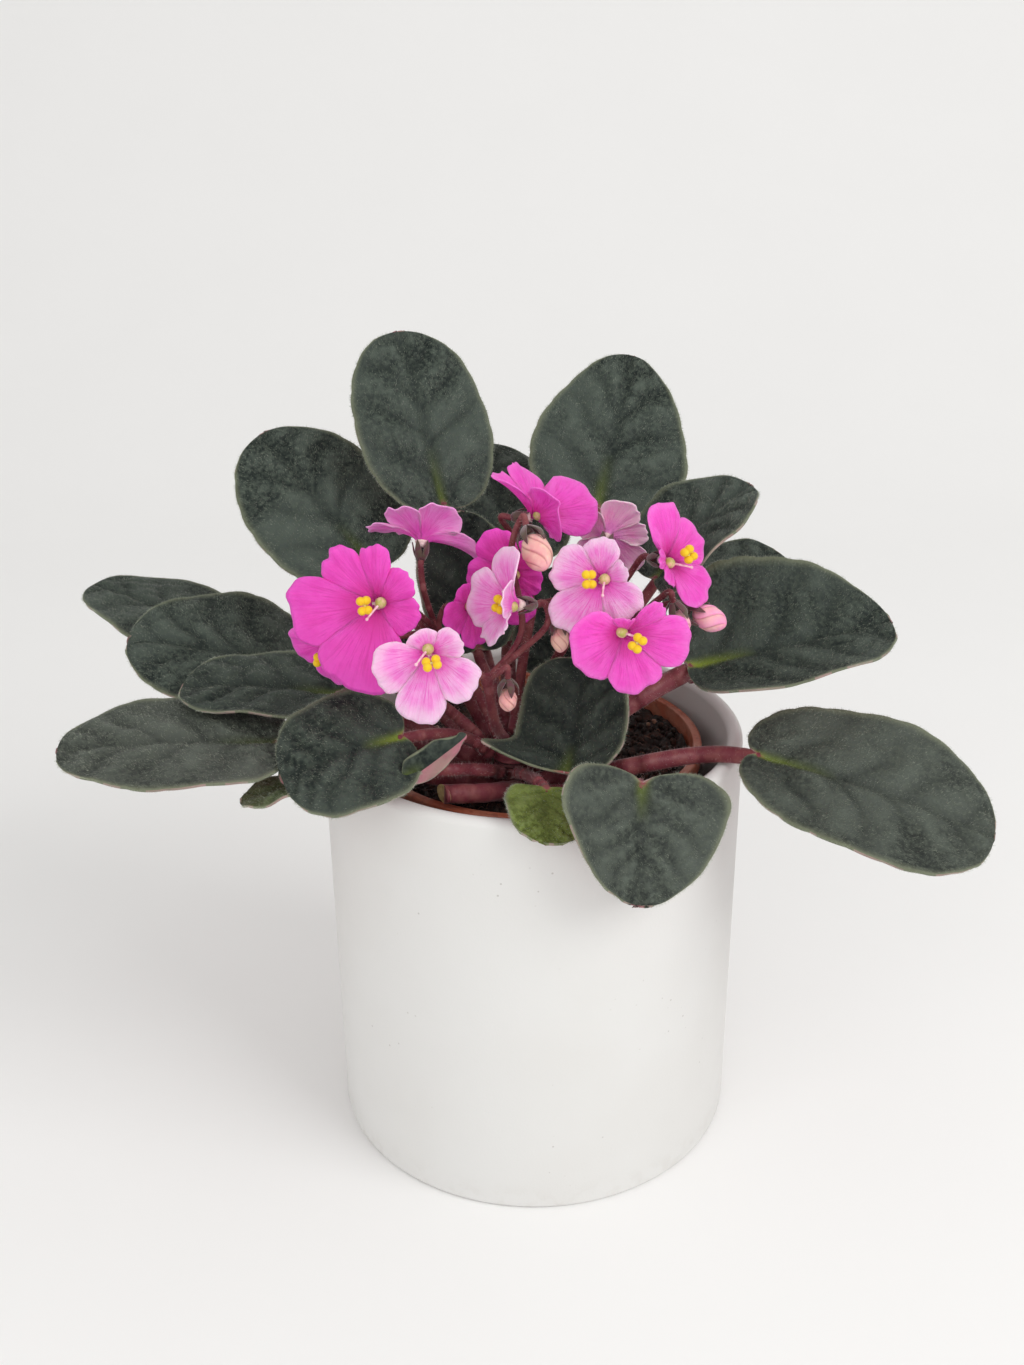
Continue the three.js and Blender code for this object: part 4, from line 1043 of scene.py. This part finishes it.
class VIOLET_OT_anthers(bpy.types.Operator):
    """Builds each bloom's joined anthers, two bulbs each, on their short filaments"""
    bl_idname = "violet.anthers"
    bl_label = "Anthers"

    def execute(self, context):
        yellow = context.scene.violet_bloom.yellow
        orange = towards(yellow, (0.8, 0.36, 0), 0.35)
        skin = soft_skin("yellow_anther", orange, yellow, 900, 0.12 * MM, 0.5)
        thread = soft_skin("pale_filament", (0.80, 0.66, 0.20), (0.88, 0.80, 0.45), 500, 0.03 * MM, 0.4)
        for name, bloom in BLOOMS.items():
            bm = bmesh.new()
            turn, off, lift = bloom["anther"], bloom.get("out", ANTHER_OUT), bloom.get("lift", 0)
            middle = in_plane(turn, off, ANTHER_HEIGHT + lift)
            aside, out = in_plane(turn + 90, 1, 0), in_plane(turn, 1, 0)
            for side in (1, -1):
                for end in (1, -1):
                    centre = middle + aside * side * 1.35 + out * end * 0.75 + Vector((0, 0, 0.35 * end))
                    ball(bm, centre, ANTHER_RADIUS, scale=(1, 1, 1.1), detail=3)
                foot = in_plane(turn, off - 0.3, 3.1 + lift) + aside * side * 0.4
                path = smooth_path((foot, (foot + middle) / 2 + aside * side * 0.5, middle), 4)
                sweep(bm, path, [0.4] * len(path), sides=8, material=1)
            bmesh.ops.transform(bm, matrix=bloom_frame(**bloom), verts=bm.verts)
            finished(f"anthers_{name}_dressed", bm, (skin, thread), (f"anthers_{name}",))
        return {"FINISHED"}


class VIOLET_OT_buds(bpy.types.Operator):
    """Builds each bud out of furled petals that wind round its tip"""
    bl_idname = "violet.buds"
    bl_label = "Buds"

    def execute(self, context):
        skin = bud_skin(context.scene.violet_bloom)
        for name, bud in BUDS.items():
            bm = bmesh.new()
            seam, tip, blush = (bm.verts.layers.float.new(name) for name in ("seam", "tip", "blush"))
            bmesh.ops.create_uvsphere(bm, u_segments=110, v_segments=44, radius=1)
            for vert in bm.verts:
                x, y, z = vert.co
                turn = (atan2(y, x) / (2 * pi) * FURLED_PETALS + 1.1 * z) % 1
                body = min(1, (1 - z * z) * 3)
                fold = 0.87 + 0.13 * body * turn ** 0.45 * min(1, (1 - turn) / 0.08)
                vert[seam] = body * max(0, 1 - min(turn, (1 - turn) * 1.5) / 0.13)
                vert[tip] = max(0, z - 0.55)
                vert[blush] = bud.get("blush", 0.1) * turn ** 0.5
                width = bud["radius"] * fold * (1 - 0.12 * max(z, 0) ** 2)
                vert.co = Vector((x * width, y * width, z * bud["length"] / 2))
            paint(bm.faces)
            bmesh.ops.transform(bm, matrix=bloom_frame(**bud), verts=bm.verts)
            finished(f"bud_{name}_dressed", bm, (skin,), (f"bud_{name}",))
        return {"FINISHED"}


# ---------- flower stalks ----------
STEM_RADIUS, SIDE_STALK_RADIUS = 1.6, 0.95
SEPALS, SEPAL_WIDTH, SEPAL_THICKNESS = 5, 2.3, 0.35


def calyx_back(carried):
    """How far behind its centre a bloom's or a bud's calyx starts."""
    return carried["length"] / 2 - 0.9 if "length" in carried else CALYX_BACK


def stalk_paths(stalk):
    """The stem's path and each side stalk's, with what it carries."""
    fork = stalk["stem"][-1]
    yield smooth_path(stalk["stem"], 10), STEM_RADIUS, None
    for carried, through in stalk["branches"]:
        back = calyx_back(carried)
        points = (fork, *through, behind(carried, back + 7), behind(carried, back + 3.4))
        yield smooth_path(points, 8), SIDE_STALK_RADIUS, carried


def build_sepal(carried, angle):
    """One pointed sepal that hugs a bloom's tube or a bud."""
    place, back = bloom_frame(**carried), calyx_back(carried)
    if "length" in carried:
        length, hug, spread = carried["length"] * 0.4 + 2, carried["radius"] * 0.72, 0.1
    else:
        length, hug, spread = 5.8, 1.1, 0.5

    def point(s, r):
        outline = sin(pi * min(1, 0.16 + 0.84 * r)) ** 0.8 * (1 - 0.35 * r)
        radius = 0.9 + hug * sin(pi / 2 * min(1, r * 1.7)) + spread * r * r
        around = radians(angle) + s * outline * SEPAL_WIDTH / 2 / max(radius, 1.3)
        z = -back - 3.6 + length * r
        return place @ Vector((radius * sin(around), radius * cos(around), z))

    return sheet(8, 14, point, SEPAL_THICKNESS)


class VIOLET_OT_stalks(bpy.types.Operator):
    """Builds the flower stalks with their side stalks, and the sepals behind each bloom and bud"""
    bl_idname = "violet.stalks"
    bl_label = "Flower stalks"

    def execute(self, context):
        settings = context.scene.violet_leaf
        red, sepal = stem_red(settings), sepal_skin()
        for name, stalk in STALKS.items():
            bm = bmesh.new()
            for path, radius, carried in stalk_paths(stalk):
                swell = [radius * (1 + 0.25 * exp(-i * 0.5)) for i in range(len(path))]
                sweep(bm, path, swell, sides=12)
                if carried is None:
                    ball(bm, path[-1], 1.95, scale=(1, 1, 1.25))
                    continue
                back = calyx_back(carried)
                neck = [behind(carried, back + 3.8 - 0.35 * i) for i in range(8)]
                sweep(bm, neck, [SIDE_STALK_RADIUS + 0.1 * i for i in range(8)], sides=12, material=1)
                for i in range(SEPALS):
                    leaflet = build_sepal(carried, i * 360 / SEPALS + 20)
                    paint(leaflet.faces, 1)
                    pour(leaflet, bm)
            finished(name + "_dressed", bm, (red, sepal), (name,))
        return {"FINISHED"}


# ---------- hairs ----------
RIM_HAIRS_PER_MM = 7
STEM_HAIRS_PER_MM = 9


def add_hair(bm, foot, way, length, width):
    """A closed slender cone that stands on foot."""
    turn = way.to_track_quat("Z", "Y").to_matrix().to_4x4()
    middle = foot + way * (length * 0.45)
    bmesh.ops.create_cone(bm, cap_ends=True, segments=3, radius1=width / 2, radius2=0, depth=length,
                          matrix=Matrix.Translation(middle) @ turn)


def jitter(rng, amount):
    return Vector((rng.gauss(0, amount), rng.gauss(0, amount), rng.gauss(0, amount)))


def blade_hairs(shape, settings, rng):
    """Foot, way, length and width of each hair over a blade and round its rim."""
    place = blade_frame(**shape)
    turn = place.to_3x3()
    length, width = settings.hair_length / MM, settings.hair_width / MM
    quilting = quilting_depth(shape, settings)
    # Leaves with painted shade get fewer hairs, so that they stay dark.
    share = shape["length"] * shape["width"] / (60 * 50) * (1 - 0.6 * shape.get("painted_shade", 0))
    for _ in range(int(settings.hairs_each * share)):
        t, s = acos(1 - 2 * rng.uniform(0.01, 0.99)), rng.uniform(-0.97, 0.97)
        if rng.random() > sin(t) ** 0.7:
            continue
        normal = blade_normal(shape, t, s)
        foot = blade_point(shape, t, s) + normal * relief(shape, t, s, quilting)[0]
        way = (turn @ (normal * 0.8 + Vector((0.5 * s, 0.5, 0))) + jitter(rng, 0.3)).normalized()
        yield place @ foot, way, length * rng.uniform(0.5, 1.0), width

    centre = blade_point(shape, pi / 2, 0)
    for _ in range(int((shape["length"] + shape["width"]) * 2 * RIM_HAIRS_PER_MM)):
        t = acos(1 - 2 * rng.uniform(0.002, 0.998))
        s = rng.choice((-1, 1)) * rng.uniform(0.985, 1)
        normal = blade_normal(shape, t, s)
        rim = blade_point(shape, t, s * scalloped(shape, t, s))
        out = rim - centre
        out -= normal * out.dot(normal)
        out = out.normalized() + normal * rng.uniform(-0.2, 0.5)
        way = (turn @ out + jitter(rng, 0.3)).normalized()
        yield place @ (rim - normal * 0.2), way, length * rng.uniform(0.5, 1.1), width * 1.3


def stem_hairs(path, radii, settings, rng):
    length, width = settings.stem_hair_length / MM, settings.stem_hair_width / MM
    for i, ring in enumerate(ring_matrices(path, radii)):
        if i + 1 == len(path):
            break
        step = path[i + 1] - path[i]
        for _ in range(round(step.length * STEM_HAIRS_PER_MM * radii[i] / 2)):
            around = ring.to_3x3() @ in_plane(rng.uniform(0, 360), 1, 0)
            foot = path[i] + step * rng.random() + around * 0.9
            way = (around.normalized() + step.normalized() * 0.15 + jitter(rng, 0.25)).normalized()
            yield foot, way, length * rng.uniform(0.45, 1.0), width


def finish_hairs(name, hairs, skin):
    bm = in_batches(hairs, lambda batch, hair: add_hair(batch, *hair))
    finished(name, bm, (skin,))


class VIOLET_OT_hairs(bpy.types.Operator):
    """Sets the fine pale hairs on blades and their rims, petioles and flower stalks"""
    bl_idname = "violet.hairs"
    bl_label = "Hairs"

    def execute(self, context):
        settings = context.scene.violet_leaf
        blade_skin = hair_skin("grey_green_hair", (0.22, 0.25, 0.19), (0.42, 0.45, 0.36))
        stem_skin = hair_skin("pinkish_hair", (0.36, 0.22, 0.22), (0.66, 0.52, 0.50))
        rng = random.Random(11)
        groups = {"left": [], "back": [], "right": [], "front": []}
        for name in LEAVES:
            side = next((side for side in ("left", "back", "right") if f"leaf_{side}" in name), "front")
            groups[side].append(LEAVES[name])
        for side, shapes in groups.items():
            hairs = [hair for shape in shapes for hair in blade_hairs(shape, settings, rng)]
            finish_hairs(f"leaf_hairs_{side}", hairs, blade_skin)
            hairs = []
            for shape in shapes:
                path, radii = (values[:PETIOLE_STEPS + 1] for values in petiole_path(shape))
                hairs += stem_hairs(path, radii, settings, rng)
            finish_hairs(f"petiole_hairs_{side}", hairs, stem_skin)
        hairs = []
        for stalk in STALKS.values():
            for path, radius, _ in stalk_paths(stalk):
                hairs += stem_hairs(path, [radius] * len(path), settings, rng)
        finish_hairs("stalk_hairs", hairs, stem_skin)
        return {"FINISHED"}


# ---------- pots and soil ----------
POT_FOOT, POT_HOLLOW = 1.5, 4  # radii of the foot's edge and of the corner inside
NURSERY_WALL, NURSERY_FOOT = 1.4, 46  # the wall's thickness and the floor's radius
DRAIN_HOLES, DRAIN_RADIUS, DRAIN_RING = 5, 4, 28  # how many, how large and how far from the axis
SOIL_LEVEL, SOIL_SHOULDER = 125, 120  # heights of the surface without bumps and of the side's top
WELL_FLOOR = 121  # height of the soil under the crown
CRUMBS, FIBRES = 1500, 170


def spun(profile, steps):
    """A closed solid of revolution round the Z axis."""
    bm = bmesh.new()
    verts = [bm.verts.new((radius, 0, z)) for radius, z in profile]
    edges = [bm.edges.new(pair) for pair in zip(verts, verts[1:])]
    bmesh.ops.spin(bm, geom=verts + edges, axis=(0, 0, 1), cent=(0, 0, 0), angle=2 * pi, steps=steps,
                   use_merge=True)
    bmesh.ops.remove_doubles(bm, verts=bm.verts, dist=1e-4)
    bmesh.ops.recalc_face_normals(bm, faces=bm.faces)
    paint(bm.faces)
    return bm


def arc(centre_radius, centre_z, radius, start, end, steps):
    for i in range(steps + 1):
        angle = radians(start + (end - start) * i / steps)
        yield centre_radius + radius * cos(angle), centre_z + radius * sin(angle)


class VIOLET_OT_cachepot(bpy.types.Operator):
    """Builds the round ceramic cachepot with its rounded rim and foot"""
    bl_idname = "violet.cachepot"
    bl_label = "Cachepot"

    def execute(self, context):
        settings = context.scene.violet_pot
        wall, floor = settings.wall / MM, settings.floor / MM
        rim, inner = wall / 2, POT_RADIUS - wall
        rim_z, corner_z = POT_HEIGHT - rim, floor + POT_HOLLOW
        profile = [(0, 0), (POT_RADIUS * 0.5, 0), (POT_RADIUS - 4, 0)]
        profile += arc(POT_RADIUS - POT_FOOT, POT_FOOT, POT_FOOT, -90, 0, 6)
        profile += [(POT_RADIUS, POT_FOOT + (rim_z - POT_FOOT) * i / 12) for i in range(1, 12)]
        profile += arc(POT_RADIUS - rim, rim_z, rim, 0, 180, 14)
        profile += [(inner, rim_z - (rim_z - corner_z) * i / 12) for i in range(1, 12)]
        profile += arc(inner - POT_HOLLOW, corner_z, POT_HOLLOW, 0, -90, 6)
        profile += [(inner * 0.5, floor), (0, floor)]
        skin = ceramic_skin(settings)
        finished("cachepot_dressed", spun(profile, 160), (skin,), ("cachepot",))
        return {"FINISHED"}


class VIOLET_OT_nursery_pot(bpy.types.Operator):
    """Builds the thin plastic nursery pot with its rolled lip and drain holes"""
    bl_idname = "violet.nursery_pot"
    bl_label = "Nursery pot"

    def execute(self, context):
        settings = context.scene.violet_pot
        low, high = NURSERY_LOW / MM, NURSERY_HIGH / MM
        middle = (low + high) / 2
        outer = high.x - middle.x
        rim, floor = outer - settings.lip / MM, low.z + NURSERY_WALL
        profile = [(0, low.z), (DRAIN_RING + 8, low.z), (NURSERY_FOOT - 1, low.z)]
        profile += [(NURSERY_FOOT, low.z + 1), (rim, high.z - 5), (outer - 0.2, high.z - 5.2)]
        profile += [(outer, high.z - 4.9), (outer, high.z - 0.9)]
        profile += arc(outer - 0.7, high.z - 0.7, 0.7, 0, 90, 4)
        profile += arc(rim - NURSERY_WALL + 0.5, high.z - 0.5, 0.5, 90, 180, 4)
        profile += [(NURSERY_FOOT - NURSERY_WALL, floor), (DRAIN_RING + 8, floor), (0, floor)]
        bm = spun(profile, 128)
        bmesh.ops.translate(bm, verts=bm.verts, vec=(middle.x, middle.y, 0))
        skin = plastic_skin(settings)
        pot = finished("nursery_pot_dressed", bm, (skin,), ("nursery_pot",))

        drill = bmesh.new()
        for i in range(DRAIN_HOLES):
            angle = 2 * pi * i / DRAIN_HOLES
            spot = (middle.x + DRAIN_RING * cos(angle), middle.y + DRAIN_RING * sin(angle), low.z)
            bmesh.ops.create_cone(
                drill, cap_ends=True, segments=40, radius1=DRAIN_RADIUS, radius2=DRAIN_RADIUS, depth=10,
                matrix=Matrix.Translation(spot))
        bmesh.ops.scale(drill, vec=(MM, MM, MM), verts=drill.verts)
        cutter = as_object("drill", drill)
        cut = pot.modifiers.new("drain holes", "BOOLEAN")
        cut.object, cut.operation, cut.solver = cutter, "DIFFERENCE", "EXACT"
        context.view_layer.update()
        done = bpy.data.meshes.new_from_object(pot.evaluated_get(context.evaluated_depsgraph_get()))
        pot.modifiers.clear()
        pot.data = done
        bpy.data.objects.remove(cutter)
        return {"FINISHED"}


class VIOLET_OT_soil(bpy.types.Operator):
    """Builds the peat with its rough crumbly top, loose crumbs and fibres"""
    bl_idname = "violet.soil"
    bl_label = "Soil"

    def execute(self, context):
        settings = context.scene.violet_pot
        low, high = SOIL_LOW / MM, SOIL_HIGH / MM
        middle = (low + high) / 2
        top_radius = high.x - middle.x
        rng = random.Random(5)

        def off_crown(x, y):
            return hypot(x - CROWN_X, y - CROWN_Y)

        def off_axis(x, y):
            return hypot(x - middle.x, y - middle.y)

        def height(x, y):
            bumps = sin(x * 0.31 + 1) * cos(y * 0.27) + 0.6 * sin(x * 0.83 - y * 0.71)
            mound = 3 * exp(-(off_crown(x, y) / 22) ** 2)
            bank = 4 * (off_axis(x, y) / (top_radius + 3)) ** 6
            rough = noise.fractal(Vector((x, y, 0)) * 0.45, 0.9, 2.2, 4)
            return SOIL_LEVEL + 0.8 * bumps + mound + bank + 0.8 * rough

        def spot(share):
            """A random place on the soil, out to this share of its radius."""
            angle, radius = rng.uniform(0, 2 * pi), top_radius * sqrt(rng.random()) * share
            return middle.x + radius * cos(angle), middle.y + radius * sin(angle)

        bottom_radius = NURSERY_FOOT - NURSERY_WALL - 1.2
        flat = SOIL_LEVEL - 1
        profile = [(0, low.z), (bottom_radius, low.z), (top_radius, SOIL_SHOULDER)]
        profile += [(top_radius * i / 60, flat) for i in range(60, -1, -1)]
        bm = spun(profile, 150)
        bmesh.ops.translate(bm, verts=bm.verts, vec=(middle.x, middle.y, 0))
        well = CROWN_RADIUS + 0.6
        for vert in bm.verts:
            if vert.co.z > flat - 1:
                x, y, _ = vert.co
                vert.co.z = WELL_FLOOR if off_crown(x, y) < well else height(x, y)

        def crumb(batch, _):
            x, y = spot(0.97)
            if off_crown(x, y) < well + 1:
                return
            pale = rng.random() < 0.07
            size = rng.uniform(0.35, 1.0) * (1 if pale else 1.3)
            stretch = [rng.uniform(0.6, 1.5) for _ in range(3)]
            turn = Matrix.Rotation(rng.uniform(0, pi), 4, jitter(rng, 1).normalized())
            place = Matrix.Translation((x, y, height(x, y) + size * 0.2)) @ turn
            ball(batch, Vector(), size, place, stretch, 1 if pale else 0, 1)

        pour(in_batches(range(CRUMBS), crumb, 200), bm)
        for _ in range(FIBRES):
            x, y = spot(0.9)
            way, length = rng.uniform(0, 2 * pi), rng.uniform(2, 7)
            if off_crown(x, y) < well + length:
                continue
            path = []
            for step in range(5):
                reach = length * (step / 4 - 0.5)
                fx, fy = x + reach * cos(way), y + reach * sin(way)
                if off_axis(fx, fy) < top_radius - 0.5:
                    path.append(Vector((fx, fy, height(fx, fy) + 0.35 + 0.5 * sin(step * 1.4))))
            if len(path) > 2:
                sweep(bm, path, [0.16] * len(path), sides=4, material=2)
        grit = soft_skin("reddish_grit", (0.16, 0.07, 0.045), (0.34, 0.20, 0.13), 500, 0.2 * MM, 0.8)
        fibre = soft_skin("peat_fibre", (0.08, 0.03, 0.016), (0.20, 0.09, 0.05), 300, 0.1 * MM, 0.8)
        finished("soil_dressed", bm, (peat_skin(settings), grit, fibre), ("soil",))
        return {"FINISHED"}


# ---------- stage ----------
CAMERA_PLACE = Vector((0, -0.397, 0.325))
CAMERA_FOCAL_PX, IMAGE_HEIGHT_PX = 1350, 1365
CAMERA_PITCH, CAMERA_YAW, CAMERA_ROLL = 23.3, -0.94, -0.62  # degrees: down, towards +X, about the view
COVE_START, COVE_RADIUS, COVE_HALF_WIDTH = 0.6, 0.9, 3
LIGHTS = (  # name, place, size and power
    ("window_light", (1.2, -0.8, 1.2), 1.0, 14),
    ("fill_light", (-0.6, -1.2, 0.7), 1.4, 6),
)
LIT_POINT = Vector((0, 0, 0.17))
DAYLIGHT_COLOUR, DAYLIGHT_STRENGTH = (1.0, 0.995, 0.985, 1), 0.71


class VIOLET_OT_stage(bpy.types.Operator):
    """Makes the plain pale floor, the soft lights and the camera"""
    bl_idname = "violet.stage"
    bl_label = "Stage"

    def execute(self, context):
        scene = context.scene
        bm = bmesh.new()
        bmesh.ops.create_grid(bm, x_segments=20, y_segments=120, size=COVE_HALF_WIDTH)
        for vert in bm.verts:
            along = vert.co.y - COVE_START
            turn = min(max(along / COVE_RADIUS, 0), pi / 2)
            past = max(along - COVE_RADIUS * pi / 2, 0)
            if along > 0:
                vert.co.y = COVE_START + COVE_RADIUS * sin(turn)
                vert.co.z = COVE_RADIUS * (1 - cos(turn)) + past
        paint(bm.faces)
        pale = Finish("pale_cove", Roughness=0.95, Specular_IOR_Level=0.05)
        pale.colour(pale.mix(pale.noise(8, 2), (0.870, 0.865, 0.857), (0.890, 0.885, 0.877)))
        cove = as_object("cove", bm, (pale.material,))

        world = bpy.data.worlds.new("soft_daylight")
        world.use_nodes = True
        sky = world.node_tree.nodes["Background"]
        sky.inputs["Color"].default_value = DAYLIGHT_COLOUR
        sky.inputs["Strength"].default_value = DAYLIGHT_STRENGTH
        scene.world = world
        for name, place, size, power in LIGHTS:
            light = bpy.data.lights.new(name, "AREA")
            light.size, light.energy = size, power
            lamp = bpy.data.objects.new(name, light)
            lamp.location = place
            lamp.rotation_euler = (LIT_POINT - Vector(place)).to_track_quat("-Z", "Y").to_euler()
            scene.collection.objects.link(lamp)
        scene.view_settings.view_transform = "Standard"

        camera = bpy.data.cameras.new("camera")
        camera.sensor_fit = "VERTICAL"
        camera.sensor_height = 24
        camera.lens = camera.sensor_height * CAMERA_FOCAL_PX / IMAGE_HEIGHT_PX
        camera.clip_start = 0.01
        holder = bpy.data.objects.new("camera", camera)
        pitch, yaw, roll = radians(CAMERA_PITCH), radians(CAMERA_YAW), radians(CAMERA_ROLL)
        forward = Vector((sin(yaw) * cos(pitch), cos(yaw) * cos(pitch), -sin(pitch)))
        right = forward.cross(Vector((0, 0, 1))).normalized()
        up = right.cross(forward)
        rolled = right * cos(roll) + up * sin(roll), up * cos(roll) - right * sin(roll)
        holder.matrix_world = frame_of(*rolled, -forward, CAMERA_PLACE)
        scene.collection.objects.link(holder)
        scene.camera = holder
        return {"FINISHED"}


class VIOLET_PT_panel(bpy.types.Panel):
    """Lists the settings and the steps in order"""
    bl_label = "African Violet"
    bl_idname = "VIOLET_PT_panel"
    bl_space_type = "VIEW_3D"
    bl_region_type = "UI"
    bl_category = "Violet"

    def draw(self, context):
        for settings in (context.scene.violet_leaf, context.scene.violet_bloom, context.scene.violet_pot):
            for name in settings.__annotations__:
                self.layout.prop(settings, name)
        for step in STEPS:
            self.layout.operator(step.bl_idname)


STEPS = (
    VIOLET_OT_cachepot,
    VIOLET_OT_nursery_pot,
    VIOLET_OT_soil,
    VIOLET_OT_crown,
    VIOLET_OT_leaves,
    VIOLET_OT_stalks,
    VIOLET_OT_blooms,
    VIOLET_OT_anthers,
    VIOLET_OT_buds,
    VIOLET_OT_hairs,
    VIOLET_OT_stage,
)
SETTINGS = (VioletLeafSettings, VioletBloomSettings, VioletPotSettings)


def register():
    for cls in (*SETTINGS, *STEPS, VIOLET_PT_panel):
        bpy.utils.register_class(cls)
    bpy.types.Scene.violet_leaf = bpy.props.PointerProperty(type=VioletLeafSettings)
    bpy.types.Scene.violet_bloom = bpy.props.PointerProperty(type=VioletBloomSettings)
    bpy.types.Scene.violet_pot = bpy.props.PointerProperty(type=VioletPotSettings)


def unregister():
    for name in ("violet_leaf", "violet_bloom", "violet_pot"):
        delattr(bpy.types.Scene, name)
    for cls in reversed((*SETTINGS, *STEPS, VIOLET_PT_panel)):
        bpy.utils.unregister_class(cls)


def main():
    register()
    for step in STEPS:
        group, name = step.bl_idname.split(".")
        getattr(getattr(bpy.ops, group), name)()


if __name__ == "__main__":
    main()
